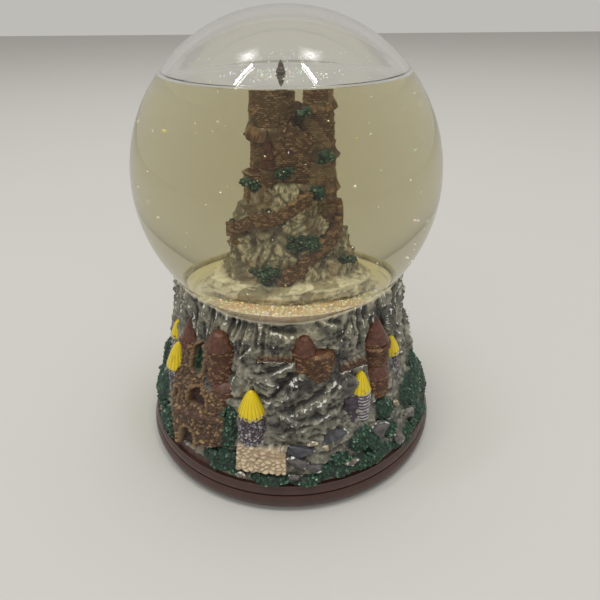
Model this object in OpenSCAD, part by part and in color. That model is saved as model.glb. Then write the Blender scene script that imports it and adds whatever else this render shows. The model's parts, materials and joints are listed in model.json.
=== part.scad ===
// Castle snow globe on a cast rock base with a wind-up musical movement.
// Millimetres. +Z is up, the front faces -Y, and the origin is the centre of the base on the table.

/* [Globe] */
// Outer radius of the glass ball
globe_r = 50; // [48:0.5:52]
// Wall of the glass ball
glass_wall = 2.2; // [1.6:0.1:3]
// Height of the ball's centre above the table
globe_z = 96.5; // [95:0.5:98]
// Outer radius of the neck
neck_r = 31; // [29:0.5:32]
// Height of the water's surface
water_z = 127.8; // [120:0.2:131]

/* [Base] */
// Radius of the plinth's widest band
plinth_r = 56; // [55:0.5:60]
// Height of the plinth's top above the table
plinth_top = 10; // [9.5:0.1:10.5]
// Radius of the rock casting where it stands on the plinth
rock_foot_r = 53.2; // [52:0.1:54]
// Height of the rim that holds the ball
rim_z = 66.5; // [66:0.1:67]
// Thickness of the rubber feet
pad_h = 1.2; // [0.8:0.1:1.6]

/* [Movement] */
// Thickness of the bottom cover
cover_t = 2; // [1.6:0.1:2.2]
// Radius of the pin drum
drum_r = 6; // [5.8:0.05:6.1]
// Number of notes on the comb
notes = 18; // [12:1:18]
// Teeth on the crown wheel
crown_teeth = 36; // [36]
// Teeth on the drum's pinion
pinion_teeth = 12; // [12]

/* [Hidden] */
$fn = 64;

// Globe and plug
globe_in = globe_r - glass_wall;
neck_in = neck_r - glass_wall;
neck_top = globe_z - sqrt(globe_r * globe_r - neck_r * neck_r);
neck_bottom = 51.5;
plug_top = 63.5;
well_floor = 48.5;
figurine_disc_r = 22.5;

// Rock casting: radius of the outside at height z, straight between the heights below
rock_zs = [10, 15, 20, 25, 30, 40, 50, 60, 66.5];
rock_rs = [rock_foot_r, 51.6, 49.6, 47.8, 46, 43.2, 41, 39.8, 40.2];
cavity_floor = 12.5;
cavity_top = 44.5;
cavity_foot_r = 46.4;
cavity_top_r = 38.5;
boss_r = 4.4;
boss_ring_r = 40.3;
boss_angles = [60, 180, 300];

// Levels of the movement
cover_top = cavity_floor + cover_t;
bed_t = 2.2;
bed_top = cover_top + bed_t;
arbor_r = 1.5;
run = 0.05;               // radial running clearance of every turning pivot
housing_r = 11.5;
housing_h = 6.5;
crown_z = bed_top + housing_h + 0.4;
crown_r = 10.5;           // pitch radius of the crown teeth
crown_tooth_h = 1.3;
pinion_pitch_r = crown_r * pinion_teeth / crown_teeth;
drum_z = crown_z + 1.2 + 0.75 + pinion_pitch_r;
drum_x0 = 13.6;
drum_len = 13;
note_x = drum_x0 + 0.4;   // first note's track
note_pitch = 0.72;
shaft_r = 0.8;
pin_h = 0.7;
wheel_m = 0.4;            // module of the drum wheel and its pinion
wheel_teeth = 32;
small_teeth = 8;
gov_y = wheel_m * (wheel_teeth + small_teeth) / 2;
worm_pitch = 1.2;
worm_wheel_teeth = 24;
worm_wheel_r = worm_wheel_teeth * worm_pitch / 2 / PI;
worm_x = 30.2;
worm_y = gov_y + worm_wheel_r + 1.1;
wheel_x = 27.4;           // drum wheel's near face
thin_r = 0.5;             // radius of the governor's arbors
liquid_low = globe_z - sqrt(pow(globe_in - 0.05, 2) - pow(neck_in + 0.6, 2));

// Relief turrets on the rock: azimuth from the front, distance of the axis, foot, eaves, body radius,
// roof radius and roof height
turrets = [
    [-14.6, 46.4, 22.3, 34.3, 4.3, 4.5, 8.3],
    [31.6, 44.4, 26.3, 37.3, 3.4, 3.5, 7.2],
    [-61.5, 44, 17.3, 36, 4.5, 5.1, 8.6],
    [-73, 41.9, 34, 42.4, 2.8, 3.2, 6],
    [54.5, 42.6, 33, 43.2, 2.9, 3.2, 5.9],
    [104, 45.8, 19.3, 30.3, 4.1, 4.5, 8.6],
    [146, 43.8, 26.3, 37, 3.6, 3.8, 7.5],
    [196, 46.6, 19.3, 30.3, 4.3, 4.6, 8.6],
    [238, 43.8, 28, 38, 3.5, 3.7, 7],
    [-52.8, 40.6, 38, 49.6, 3.5, 3.9, 7.4],
    [-32.2, 40.8, 34, 52.6, 4.5, 4.7, 5.4],
    [-28.6, 42.4, 29.3, 39, 4.7, 4.9, 2.4],
    [7.4, 39.6, 43, 53.7, 3.6, 3.9, 5.2],
    [13, 38.6, 41, 53.2, 5.3, 5.6, 1],
    [43.6, 40.4, 36, 51.2, 4.2, 4.5, 8.7],
    [41.6, 42.7, 29.3, 39.4, 4.2, 4.8, 4.2],
    [122, 40.4, 22, 48, 5.1, 5.6, 8],
    [168, 40.6, 14, 46, 5.3, 5.7, 8],
    [180, 41.4, 12, 38, 4.5, 5, 6],
    [217, 40.2, 31, 50.3, 4.3, 4.9, 7.5],
    [258, 40.6, 28, 48, 4.7, 5.2, 8]
];

// Castle on the figurine: x, y, foot, eaves, body radius, roof radius and roof height
spires = [
    [-3.4, 1, 88, 121.5, 5.2, 5.4, 4.4],
    [7.8, -0.6, 86, 121.5, 3.6, 3.9, 4.4],
    [-1.5, 2.6, 118, 124, 2.1, 2.5, 7.5],
    [-4.6, -5.2, 86, 100.6, 2, 2.2, 9],
    [-7.6, -2.8, 84, 99, 3.3, 3.6, 1],
    [8, -2.4, 80, 102.5, 4.3, 4.7, 1]
];

// Places a child on the casting: azimuth a from the front, r from the axis, height z
module on_base(a, r, z) {
    rotate([0, 0, a]) translate([0, -r, z]) children();
}

// Lays a child's Z axis along +X at the drum's height
module along_x(x, y = 0) {
    translate([x, y, drum_z]) rotate([0, 90, 0]) children();
}

module tube(r_out, r_in, h) {
    difference() {
        cylinder(r = r_out, h = h);
        translate([0, 0, -1]) cylinder(r = r_in, h = h + 2);
    }
}

// A small pan-head screw with its shank pointing down from z = 0
module screw(head_r, head_h, shank_r, shank_len) {
    difference() {
        union() {
            cylinder(r = head_r, h = head_h);
            translate([0, 0, -shank_len]) cylinder(r = shank_r, h = shank_len + 0.1);
        }
        translate([-head_r, -0.25, head_h * 0.55]) cube([2 * head_r, 0.5, head_h]);
    }
}

// A flat gear with straight-sided teeth about Z
module gear(teeth, pitch_r, tip, root, thick_share, h) {
    step = 360 / teeth;
    half = step * thick_share / 2;
    linear_extrude(height = h)
        polygon([for (i = [0:teeth - 1], k = [0:3])
            let (
                a = i * step + [-1.45, -0.62, 0.62, 1.45][k] * half,
                r = pitch_r + [-root, tip, tip, -root][k]
            )
            [r * cos(a), r * sin(a)]]);
}

module glass_globe() color([0.85, 0.9, 0.86, 0.3]) rotate_extrude($fn = 128) difference() {
    union() {
        difference() {
            translate([0, globe_z]) circle(r = globe_r, $fn = 128);
            translate([0, neck_bottom - 60]) square([80, 60 + neck_top - neck_bottom]);
        }
        translate([0, neck_bottom]) square([neck_r, neck_top - neck_bottom + 1]);
    }
    translate([0, globe_z]) circle(r = globe_in, $fn = 128);
    translate([0, neck_bottom - 5]) square([neck_in, 30]);
    translate([-80, 0]) square([80, 200]);
}

module liquid() color([0.86, 0.85, 0.6, 0.4]) difference() {
    rotate_extrude($fn = 128) difference() {
        intersection() {
            translate([0, globe_z]) circle(r = globe_in - 0.05, $fn = 128);
            translate([0, liquid_low]) square([60, water_z - liquid_low]);
        }
        translate([-1, 0]) square([neck_in + 1, plug_top + 0.05]);
    }
    castle_shape(0.2);
}

module globe_plug() color("dimgray") rotate_extrude() difference() {
    union() {
        translate([0, well_floor]) square([neck_in - 0.05, plug_top - well_floor]);
        translate([0, well_floor]) square([neck_r + 1.5, neck_bottom - well_floor - 0.05]);
    }
    // Hollow of the rubber cup
    translate([0, well_floor - 1]) square([18, 5.5]);
}

module plug_seal_ring() color("white") rotate_extrude() difference() {
    translate([neck_r + 0.05, neck_bottom - 0.05]) square([1.4, 1.8]);
    translate([neck_r + 1.45, neck_bottom + 1.75]) circle(r = 1);
}

// Bead of clear adhesive between the ball and the wall of the casting's well
module globe_bond_ring() color([0.9, 0.9, 0.85]) rotate_extrude() difference() {
    translate([neck_r + 0.05, neck_bottom + 2]) square([2.53, 8]);
    translate([0, globe_z]) circle(r = globe_r + 0.02, $fn = 128);
}

// The figurine's solid, swollen by g all round
module castle_shape(g = 0) {
    translate([0, 0, plug_top]) cylinder(r = figurine_disc_r + g, h = 4.2 + g);
    translate([0, 0, plug_top + 3.5]) cylinder(r1 = 17 + g, r2 = 14.5 + g, h = 7 + g);
    translate([0.5, 0.4, plug_top + 9.5]) cylinder(r1 = 14.8 + g, r2 = 13 + g, h = 11 + g);
    translate([-0.5, 0.2, plug_top + 19]) cylinder(r1 = 13.4 + g, r2 = 10 + g, h = 12 + g);
    for (s = spires) translate([s[0], s[1], 0]) {
        translate([0, 0, s[2]]) cylinder(r = s[4] + g, h = s[3] - s[2]);
        translate([0, 0, s[3] - g]) cylinder(r1 = s[5] + g, r2 = 0.15 + g, h = s[6] + 2 * g);
    }
    // Keep between the two tall towers
    translate([-6 - g, -3 - g, 84]) cube([13 + 2 * g, 8 + 2 * g, 25 + g]);
}

module castle_figurine() color("sienna") difference() {
    castle_shape();
    translate([0, 0, plug_top - 5]) cylinder(r = figurine_disc_r + 2, h = 5.02);
}

// Reflective flakes, settled round the castle's foot and a few still drifting
module glitter_flakes() color([0.95, 0.9, 0.7]) {
    for (i = [0:35]) let (a = i * 137.5, r = 24.6 + 2.6 * (i * 0.618 % 1))
        translate([r * cos(a), r * sin(a), plug_top + 0.3 + 0.9 * (i * 0.37 % 1)])
            rotate([40 * sin(i * 77), 40 * cos(i * 51), 0]) cylinder(r = 0.55, h = 0.12, $fn = 6);
    for (i = [0:13]) let (a = i * 137.5 + 20, r = 24 + 12 * (i * 0.618 % 1))
        translate([r * cos(a), r * sin(a), 76 + 42 * (i * 0.38 % 1)])
            rotate([90 * sin(i * 70), 60 * cos(i * 50), 0]) cylinder(r = 0.55, h = 0.12, $fn = 6);
}

// Outside of the rock cone, as a profile
module rock_outline() {
    polygon(concat([[0, rock_zs[0]]], [for (i = [0:len(rock_zs) - 1]) [rock_rs[i], rock_zs[i]]],
        [[0, rim_z]]));
}

module rock_base() color("gray") difference() {
    union() {
        rotate_extrude($fn = 96) rock_outline();
        for (t = turrets) on_base(t[0], t[1], 0) {
            translate([0, 0, t[2]]) cylinder(r = t[4], h = t[3] - t[2], $fn = 12);
            translate([0, 0, t[3] - 0.1]) cylinder(r1 = t[5], r2 = 0.4, h = t[6] + 0.1);
        }
        // Gatehouse of the large castle
        on_base(-41, 46.5, 24) cube([16, 10, 26], center = true);
        on_base(-43, 43.5, 37) cube([14, 6, 14], center = true);
        // Low garden wall
        rotate([0, 0, -109]) rotate_extrude(angle = 18) translate([48, plinth_top]) square([4, 12.5]);
        // Boulders along the foot
        for (b = [[4, 49.4, 15], [24, 50.2, 13], [40, 49.4, 17], [55, 48.8, 16], [-22, 50.6, 12.6],
                [92, 49.6, 15], [130, 49.4, 14], [155, 50, 14], [212, 49.4, 14], [250, 49.6, 14],
                [282, 49.6, 14]])
            on_base(b[0], b[1], b[2]) rotate([18, 25, b[0]]) cube(6.1, center = true);
    }
    // Seat for the ball and well for its neck
    translate([0, 0, globe_z]) sphere(r = globe_r + 0.4, $fn = 128);
    translate([0, 0, well_floor]) cylinder(r = neck_r + 2.6, h = 12);
    // Hollow for the movement, open below
    translate([0, 0, cavity_floor + cover_t])
        cylinder(r1 = cavity_foot_r, r2 = cavity_top_r, h = cavity_top - cavity_floor - cover_t);
    translate([0, 0, plinth_top - 1]) cylinder(r = cavity_foot_r, h = cavity_floor + cover_t - plinth_top + 1.01);
    // Nothing hangs below the plinth's top
    cylinder(r = 80, h = plinth_top);
}

// Screw posts moulded inside the casting. They stop below the well.
module screw_posts() {
    for (a = boss_angles) rotate([0, 0, a]) translate([boss_ring_r, 0, cover_top]) difference() {
        union() {
            cylinder(r = boss_r, h = 16);
            translate([0, -boss_r, 0]) cube([cavity_foot_r - boss_ring_r - 1, 2 * boss_r, 8]);
        }
        translate([0, 0, -1]) cylinder(r = 1.25, h = 12);
    }
}

module plinth() color("saddlebrown") rotate_extrude($fn = 128) difference() {
    union() {
        translate([45, pad_h]) square([plinth_r - 46.6, plinth_top - pad_h]);
        // Lower band with a round nose
        intersection() {
            translate([plinth_r - 4, pad_h + 2.4]) circle(r = 4, $fn = 48);
            translate([45, pad_h]) square([20, 4.9]);
        }
        // Upper band
        intersection() {
            translate([plinth_r - 4.1, 7.2]) circle(r = 3.2, $fn = 48);
            translate([45, 6.6]) square([20, plinth_top - 6.6]);
        }
    }
    // Groove between the bands
    translate([plinth_r - 1.7, 6.1]) square([4, 0.6]);
}

module foot_pad(n) color([0.12, 0.12, 0.12])
    rotate([0, 0, 45 + 90 * (n - 1)]) translate([49.8, 0, 0]) cylinder(r = 4, h = pad_h);

module bottom_cover() color([0.15, 0.13, 0.12]) translate([0, 0, cavity_floor]) difference() {
    cylinder(r = cavity_foot_r - 0.4, h = cover_t);
    translate([0, 0, -1]) cylinder(r = 4.5, h = cover_t + 2);
    for (a = boss_angles) rotate([0, 0, a]) translate([boss_ring_r, 0, -1]) cylinder(r = 1.7, h = cover_t + 2);
    for (p = movement_holes) translate([p[0], p[1], -1]) cylinder(r = 1.6, h = cover_t + 2);
}

module cover_screws() color("silver") for (a = boss_angles) rotate([0, 0, a])
    translate([boss_ring_r, 0, cavity_floor]) mirror([0, 0, 1]) screw(2.8, 1.6, 1.2, 9);

// Holes that hold the bedplate to the cover
movement_holes = [[-9.5, 16], [33, -17.5], [-9.5, -18]];

module movement_screws() color("silver") for (p = movement_holes)
    translate([p[0], p[1], cavity_floor]) mirror([0, 0, 1]) screw(2.4, 1.4, 1.2, cover_t + bed_t - 0.2);

// Screw places on top of the bedplate
housing_holes = [[0, 14], [0, -14]];
bracket_holes = [[15.4, 0], [29.6, -2.4]];
comb_holes = [[16, -19.4], [24.6, -19.4]];
governor_hole = [30.2, 10.4];

module bedplate() color([0.75, 0.72, 0.6]) difference() {
    union() {
        translate([0, 0, cover_top]) linear_extrude(height = bed_t)
            polygon([[-11, -22], [34, -22], [37, -19], [37, 17.5], [34, 20.5], [-11, 20.5], [-14, 17.5], [-14, -19]]);
        // Rail that carries the comb
        translate([12.8, -22, cover_top + 1]) cube([15, 5.2, drum_z - 0.6 - cover_top - 1]);
    }
    translate([0, 0, cover_top - 1]) cylinder(r = arbor_r + run, h = bed_t + 2);
    for (p = movement_holes) translate([p[0], p[1], cover_top - 1]) cylinder(r = 1.25, h = bed_t + 2);
    for (p = concat(housing_holes, bracket_holes, [governor_hole]))
        translate([p[0], p[1], cover_top - 1]) cylinder(r = 0.95, h = bed_t + 2);
    for (p = comb_holes) translate([p[0], p[1], drum_z - 7]) cylinder(r = 1.05, h = 8);
}

module spring_housing() color("silver") difference() {
    union() {
        translate([0, 0, bed_top]) cylinder(r = housing_r, h = housing_h);
        for (p = housing_holes) translate([p[0], p[1], bed_top]) cylinder(r = 2.8, h = 0.9);
        translate([-2.8, -14, bed_top]) cube([5.6, 28, 0.9]);
    }
    translate([0, 0, bed_top - 1]) cylinder(r = housing_r - 0.7, h = housing_h + 0.3);
    translate([0, 0, bed_top]) cylinder(r = arbor_r + 0.2, h = housing_h + 2);
    for (p = housing_holes) translate([p[0], p[1], bed_top - 1]) cylinder(r = 1, h = 3);
}

module housing_screws() color("silver") for (p = housing_holes)
    translate([p[0], p[1], bed_top + 0.9]) screw(1.6, 1, 0.9, 2.6);

// A flat steel strip coiled in its housing
spring_turns = 5;
spring_steps = 20;
function spiral(i, off) =
    let (a = 360 * i / spring_steps,
        r = 2.6 + (housing_r - 4) * i / (spring_turns * spring_steps) + off)
    [r * cos(a), r * sin(a)];

module mainspring() color([0.4, 0.45, 0.55])
    translate([0, 0, bed_top + 0.4]) linear_extrude(height = housing_h - 1.6)
        polygon(concat([for (i = [0:spring_turns * spring_steps]) spiral(i, 0)],
            [for (i = [spring_turns * spring_steps:-1:0]) spiral(i, 0.35)]));

module winding_arbor() color("silver") {
    translate([0, 0, 5.2]) cylinder(r = arbor_r, h = crown_z + 3.4 - 5.2);
    // Hub that the mainspring hooks on
    translate([0, 0, bed_top + 0.3]) cylinder(r = 2.3, h = housing_h - 1.4);
}

// Butterfly key, screwed on the arbor under the cover
module winding_key() color([0.8, 0.68, 0.35]) {
    wing_z = 6.1;
    lobe_r = 4.4;
    difference() {
        union() {
            translate([0, 0, 2.4]) cylinder(r = 2.9, h = 9.8);
            for (s = [-1, 1]) translate([s * 7, 0, wing_z]) rotate([90, 0, 0])
                cylinder(r = lobe_r, h = 1.8, center = true);
            translate([-7, -0.9, wing_z - 2.6]) cube([14, 1.8, 5.2]);
        }
        translate([0, 0, 5.1]) cylinder(r = arbor_r + 0.02, h = 10);
        for (s = [-1, 1]) translate([s * 7.6, 0, wing_z]) rotate([90, 0, 0])
            cylinder(r = 1.7, h = 4, center = true);
    }
}

// Drive wheel with upright teeth that turn the drum at a right angle
module crown_wheel() color([0.8, 0.68, 0.35]) difference() {
    union() {
        translate([0, 0, crown_z]) cylinder(r = 11.4, h = 1.2);
        translate([0, 0, crown_z + 1.1]) cylinder(r = 3, h = 1.6);
        for (i = [0:crown_teeth - 1]) rotate([0, 0, (i + 0.5) * 360 / crown_teeth])
            translate([0, 0, crown_z + 1.15]) rotate([90, 0, 90]) translate([0, 0, 9.7])
                linear_extrude(height = 1.7)
                    polygon([[-0.42, 0], [-0.2, crown_tooth_h], [0.2, crown_tooth_h], [0.42, 0]]);
    }
    translate([0, 0, crown_z - 1]) cylinder(r = arbor_r + run, h = 6);
}

module drum_shaft() color("silver") along_x(8.8) cylinder(r = shaft_r, h = 24.6);

module drum_tube() color([0.82, 0.7, 0.38]) along_x(drum_x0) tube(drum_r, drum_r - 0.8, drum_len);

module drum_pins() color("silver") for (i = [0:notes - 1], k = [0:2])
    let (a = i * 47 + k * 120 + 31 * sin(i * 90 + k * 60))
        translate([note_x + i * note_pitch, 0, drum_z]) rotate([a, 0, 0]) translate([0, 0, drum_r - 0.8])
            cylinder(r = 0.2, h = 0.8 + pin_h, $fn = 16);

module drum_hub() color("ivory") along_x(drum_x0) tube(drum_r - 0.81, shaft_r + 0.01, 1.6);

module drum_pinion() color([0.8, 0.68, 0.35]) along_x(crown_r - 0.8) difference() {
    gear(pinion_teeth, pinion_pitch_r, 0.5, 0.6, 0.36, 1.6);
    translate([0, 0, -1]) cylinder(r = shaft_r + 0.01, h = 4);
}

module drum_wheel() color("ivory") difference() {
    union() {
        along_x(wheel_x) gear(wheel_teeth, wheel_m * wheel_teeth / 2, wheel_m * 0.85, wheel_m * 1.1, 0.4, 1.2);
        along_x(drum_x0 + drum_len - 1.6) cylinder(r = drum_r - 0.81, h = 1.6);
        along_x(drum_x0 + drum_len - 0.1) cylinder(r = 3, h = wheel_x - drum_x0 - drum_len + 0.2);
    }
    along_x(24) cylinder(r = shaft_r + 0.01, h = 8);
}

module left_bracket() color("silver") difference() {
    union() {
        translate([11.8, -4, bed_top]) cube([1.2, 8, drum_z + 3.2 - bed_top]);
        translate([11.8, -4, bed_top]) cube([6, 8, 1]);
    }
    along_x(11) cylinder(r = shaft_r + run, h = 3);
    translate([bracket_holes[0][0], bracket_holes[0][1], bed_top - 1]) cylinder(r = 1, h = 4);
}

module right_bracket() color("silver") difference() {
    union() {
        translate([32, -4.6, bed_top]) cube([1.2, 9.2, drum_z + 3.2 - bed_top]);
        // Ear for the governor wheel's arbor, above the fan's sweep
        translate([32, -4.6, drum_z - 2.4]) cube([1.2, 15, 5.6]);
        translate([27.4, -4.6, bed_top]) cube([5.8, 4.6, 1]);
    }
    along_x(31) cylinder(r = shaft_r + run, h = 4);
    along_x(31, gov_y) cylinder(r = thin_r + run, h = 4);
    translate([bracket_holes[1][0], bracket_holes[1][1], bed_top - 1]) cylinder(r = 1, h = 4);
}

module bracket_screws() color("silver") for (p = bracket_holes)
    translate([p[0], p[1], bed_top + 1]) screw(1.6, 1, 0.9, 2.7);

module comb() color([0.62, 0.64, 0.68]) {
    tip_y = -drum_r - pin_h - 0.12;
    root_y = -16.6;
    difference() {
        translate([0, 0, drum_z - 0.6]) linear_extrude(height = 1.1) polygon(concat(
            [[12.8, -22], [27.8, -22], [27.8, root_y]],
            [for (i = [notes - 1:-1:0], k = [0:3])
                [note_x + i * note_pitch + [0.26, 0.22, -0.22, -0.26][k], [root_y, tip_y, tip_y, root_y][k]]],
            [[12.8, root_y]]));
        for (p = comb_holes) translate([p[0], p[1], drum_z - 2]) cylinder(r = 1.15, h = 4);
    }
}

module comb_screws() color("silver") for (p = comb_holes)
    translate([p[0], p[1], drum_z + 0.5]) screw(2, 1.2, 1, 6.5);

module governor_frame() color([0.75, 0.72, 0.6]) difference() {
    union() {
        translate([25.6, 7.1, bed_top]) cube([7.4, 12.8, 1]);
        // Cheek that carries the wheel's arbor
        translate([25.6, 7.1, bed_top]) cube([1, 1.8, drum_z + 1.6 - bed_top]);
        // Post and arm over the worm
        translate([28.2, 18.6, bed_top]) cube([4, 1.3, drum_z + 5.2 - bed_top]);
        translate([28.7, 12.4, drum_z + 4]) cube([3, 7.5, 1.2]);
    }
    along_x(25, gov_y) cylinder(r = thin_r + run, h = 2);
    translate([worm_x, worm_y, bed_top - 1]) cylinder(r = thin_r + run, h = 30);
    translate([governor_hole[0], governor_hole[1], bed_top - 1]) cylinder(r = 1, h = 3);
}

module governor_screw() color("silver")
    translate([governor_hole[0], governor_hole[1], bed_top + 1]) screw(1.5, 0.9, 0.9, 2.6);

// Wheel that the worm rides on, with the pinion that the drum wheel drives
module governor_wheel() color("ivory") difference() {
    union() {
        along_x(worm_x - 0.7, gov_y) gear(worm_wheel_teeth, worm_wheel_r, 0.34, 0.5, 0.3, 1.4);
        along_x(wheel_x - 0.1, gov_y) rotate([0, 0, 360 / small_teeth / 2])
            gear(small_teeth, wheel_m * small_teeth / 2, wheel_m * 0.85, wheel_m * 1.0, 0.36, 1.4);
        along_x(wheel_x + 1.2, gov_y) cylinder(r = 1.1, h = worm_x - wheel_x - 1.2);
    }
    along_x(26, gov_y) cylinder(r = thin_r + 0.01, h = 6);
}

module governor_wheel_arbor() color("silver") along_x(25.4, gov_y) cylinder(r = thin_r, h = 8.2);

module governor_worm() color("silver") translate([worm_x, worm_y, 0]) {
    translate([0, 0, bed_top + 0.2]) cylinder(r = thin_r, h = drum_z + 5 - bed_top - 0.2, $fn = 16);
    // Single right-hand thread
    worm_len = 4.8;
    translate([0, 0, drum_z - worm_len / 2]) rotate([0, 0, 90])
        linear_extrude(height = worm_len, twist = -360 * worm_len / worm_pitch, slices = 40, $fn = 6)
            polygon([[0.3, -0.3], [1.35, -0.5], [1.44, 0], [1.35, 0.5], [0.3, 0.3], [-0.45, 0]]);
}

module governor_fan() color([0.82, 0.7, 0.38]) translate([worm_x, worm_y, bed_top + 2.6]) difference() {
    union() {
        cylinder(r = 1.1, h = 4.3);
        translate([-4.6, -0.15, 0]) cube([9.2, 0.3, 4.3]);
    }
    translate([0, 0, -1]) cylinder(r = thin_r + 0.01, h = 8);
}

module governor_endstone() color("silver")
    translate([28.8, 12.5, drum_z + 5.2]) cube([2.8, 2.6, 0.4]);

glass_globe();
liquid();
globe_plug();
plug_seal_ring();
globe_bond_ring();
castle_figurine();
glitter_flakes();
color("gray") union() { rock_base(); screw_posts(); }
plinth();
foot_pad(1);  // foot_pad_1
foot_pad(2);  // foot_pad_2
foot_pad(3);  // foot_pad_3
foot_pad(4);  // foot_pad_4
bottom_cover();
cover_screws();
movement_screws();
bedplate();
spring_housing();
housing_screws();
mainspring();
winding_arbor();
winding_key();
crown_wheel();
drum_shaft();
drum_tube();
drum_pins();
drum_hub();
drum_pinion();
drum_wheel();
left_bracket();
right_bracket();
bracket_screws();
comb();
comb_screws();
governor_frame();
governor_screw();
governor_wheel();
governor_wheel_arbor();
governor_worm();
governor_fan();
governor_endstone();
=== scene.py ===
import json
import math

import bmesh
import bpy
import numpy as np
from mathutils import Matrix, Vector


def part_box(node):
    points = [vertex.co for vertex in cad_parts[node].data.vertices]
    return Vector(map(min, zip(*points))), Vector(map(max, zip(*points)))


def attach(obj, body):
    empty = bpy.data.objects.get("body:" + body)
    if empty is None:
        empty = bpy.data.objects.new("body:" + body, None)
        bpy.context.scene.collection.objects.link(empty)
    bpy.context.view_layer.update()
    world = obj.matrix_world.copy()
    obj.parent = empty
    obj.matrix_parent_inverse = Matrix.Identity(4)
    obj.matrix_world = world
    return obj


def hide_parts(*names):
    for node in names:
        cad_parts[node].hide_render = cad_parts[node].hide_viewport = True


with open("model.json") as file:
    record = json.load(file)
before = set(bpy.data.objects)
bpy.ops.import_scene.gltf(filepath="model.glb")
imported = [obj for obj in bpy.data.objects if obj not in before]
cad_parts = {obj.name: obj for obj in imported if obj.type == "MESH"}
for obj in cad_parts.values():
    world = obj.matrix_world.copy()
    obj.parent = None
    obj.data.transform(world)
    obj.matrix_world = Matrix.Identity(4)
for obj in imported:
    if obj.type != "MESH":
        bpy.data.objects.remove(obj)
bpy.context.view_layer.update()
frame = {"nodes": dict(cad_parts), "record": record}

# Lengths are in mm up to make(), angles from the front are azimuths in degrees
MM = 0.001
ROOT = "globe_and_base"
GLOBE_Z = 96.5          # centre of the ball
GLOBE_R = 50.0
GLASS_IN = 47.8         # the ball's inner face
NECK_R = 31.0
WATER_Z = 127.8
PLUG_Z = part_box("globe_plug")[1].z / MM
RIM_Z = 66.5            # top of the casting
SEAT_R = 50.15          # the ball's seat in the casting
CASTING_MAX_R = 55.7
ROCK_Z = [10, 15, 20, 25, 30, 40, 50, 60, RIM_Z]
ROCK_R = [53.2, 51.6, 49.6, 47.8, 46, 43.2, 41, 39.8, 40.2]
FRONT = -math.pi / 2    # the front as an angle from +X


# ---------------------------------------------------------------- noise

def hashed(ix, iy, iz, seed):
    """A number from 0 to 1 for each whole-number point."""
    h = ix * 374761393 + iy * 668265263 + iz * 1442695041 + seed * 974711
    h = (h ^ (h >> 13)) & 0xFFFFFFFF
    h = (h * 1274126177) & 0xFFFFFFFF
    return ((h ^ (h >> 16)) & 0xFFFFF) / float(0xFFFFF)


def value_noise(p, seed=0):
    i = np.floor(p).astype(np.int64)
    f = p - i
    f = f * f * (3 - 2 * f)
    out = 0.0
    for k in range(8):
        d = (k & 1, (k >> 1) & 1, k >> 2)
        w = 1.0
        for ax in range(3):
            w = w * (f[:, ax] if d[ax] else 1 - f[:, ax])
        out = out + w * hashed(i[:, 0] + d[0], i[:, 1] + d[1], i[:, 2] + d[2], seed)
    return out


def octave_sum(shape, p, octaves, shift, seed):
    """Octaves of noise added up, each twice as fine and half as strong as the one before."""
    total, amp, norm = 0.0, 1.0, 0.0
    for o in range(octaves):
        total = total + amp * shape(value_noise(p * 2.0 ** o + shift * o, seed + o))
        norm += amp
        amp *= 0.5
    return total / norm


def fbm(p, octaves=4, seed=0):
    return octave_sum(lambda n: n, p, octaves, 17.3, seed)


def ridged(p, octaves=3, seed=0):
    """Sharp crests with soft hollows between them."""
    return octave_sum(lambda n: (1 - np.abs(2 * n - 1)) ** 2, p, octaves, 9.1, seed)


def warping(p, scale, step, seed):
    """Three noises from -0.5 to 0.5 that push a pattern out of line."""
    return np.stack([fbm(p * scale + step * k, 2, seed + k) for k in range(3)], 1) - 0.5


def cells(p, seed=0):
    """Distances to the nearest and second cell centre, the nearest cell's number, and the way from it."""
    i = np.floor(p).astype(np.int64)
    near, second = np.full((2, len(p)), 9.0)
    ident = np.zeros(len(p))
    way = np.zeros_like(p)
    for dx in (-1, 0, 1):
        for dy in (-1, 0, 1):
            for dz in (-1, 0, 1):
                c = (i[:, 0] + dx, i[:, 1] + dy, i[:, 2] + dz)
                q = np.stack([c[k] + 0.15 + 0.7 * hashed(*c, seed + k) for k in range(3)], 1)
                v = p - q
                d = np.sqrt((v * v).sum(1))
                hit = d < near
                second = np.where(hit, near, np.minimum(second, d))
                near = np.where(hit, d, near)
                ident = np.where(hit, hashed(*c, seed + 7), ident)
                way = np.where(hit[:, None], v, way)
    return near, second, ident, way


def stones_of(p, seed, joint=0.3):
    """1 on a stone's face and 0 in the joints of an irregular pattern, and a number for each stone."""
    near, second, ident, _ = cells(p, seed)
    return soft(second - near, 0.02, joint), ident


def soft(x, lo, hi):
    t = np.clip((x - lo) / (hi - lo), 0, 1)
    return t * t * (3 - 2 * t)


def srgb(r, g, b):
    return np.array([((c / 255 + 0.055) / 1.055) ** 2.4 if c > 10 else c / 255 / 12.92 for c in (r, g, b)])


def lerp(a, b, t):
    return a * (1 - t) + b * t


def mix(a, b, t):
    """lerp for colours, with one share or one for each point."""
    t = np.asarray(t, float)
    return lerp(a, b, t[:, None] if t.ndim else t)


def turned(r, ang, z):
    """Points at radius r and angle ang from +X."""
    return np.stack([r * np.cos(ang), r * np.sin(ang), z], 1)


def from_front(r, az, z):
    """Points at radius r and azimuth az in radians."""
    return np.stack([r * np.sin(az), -r * np.cos(az), z], 1)


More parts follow.
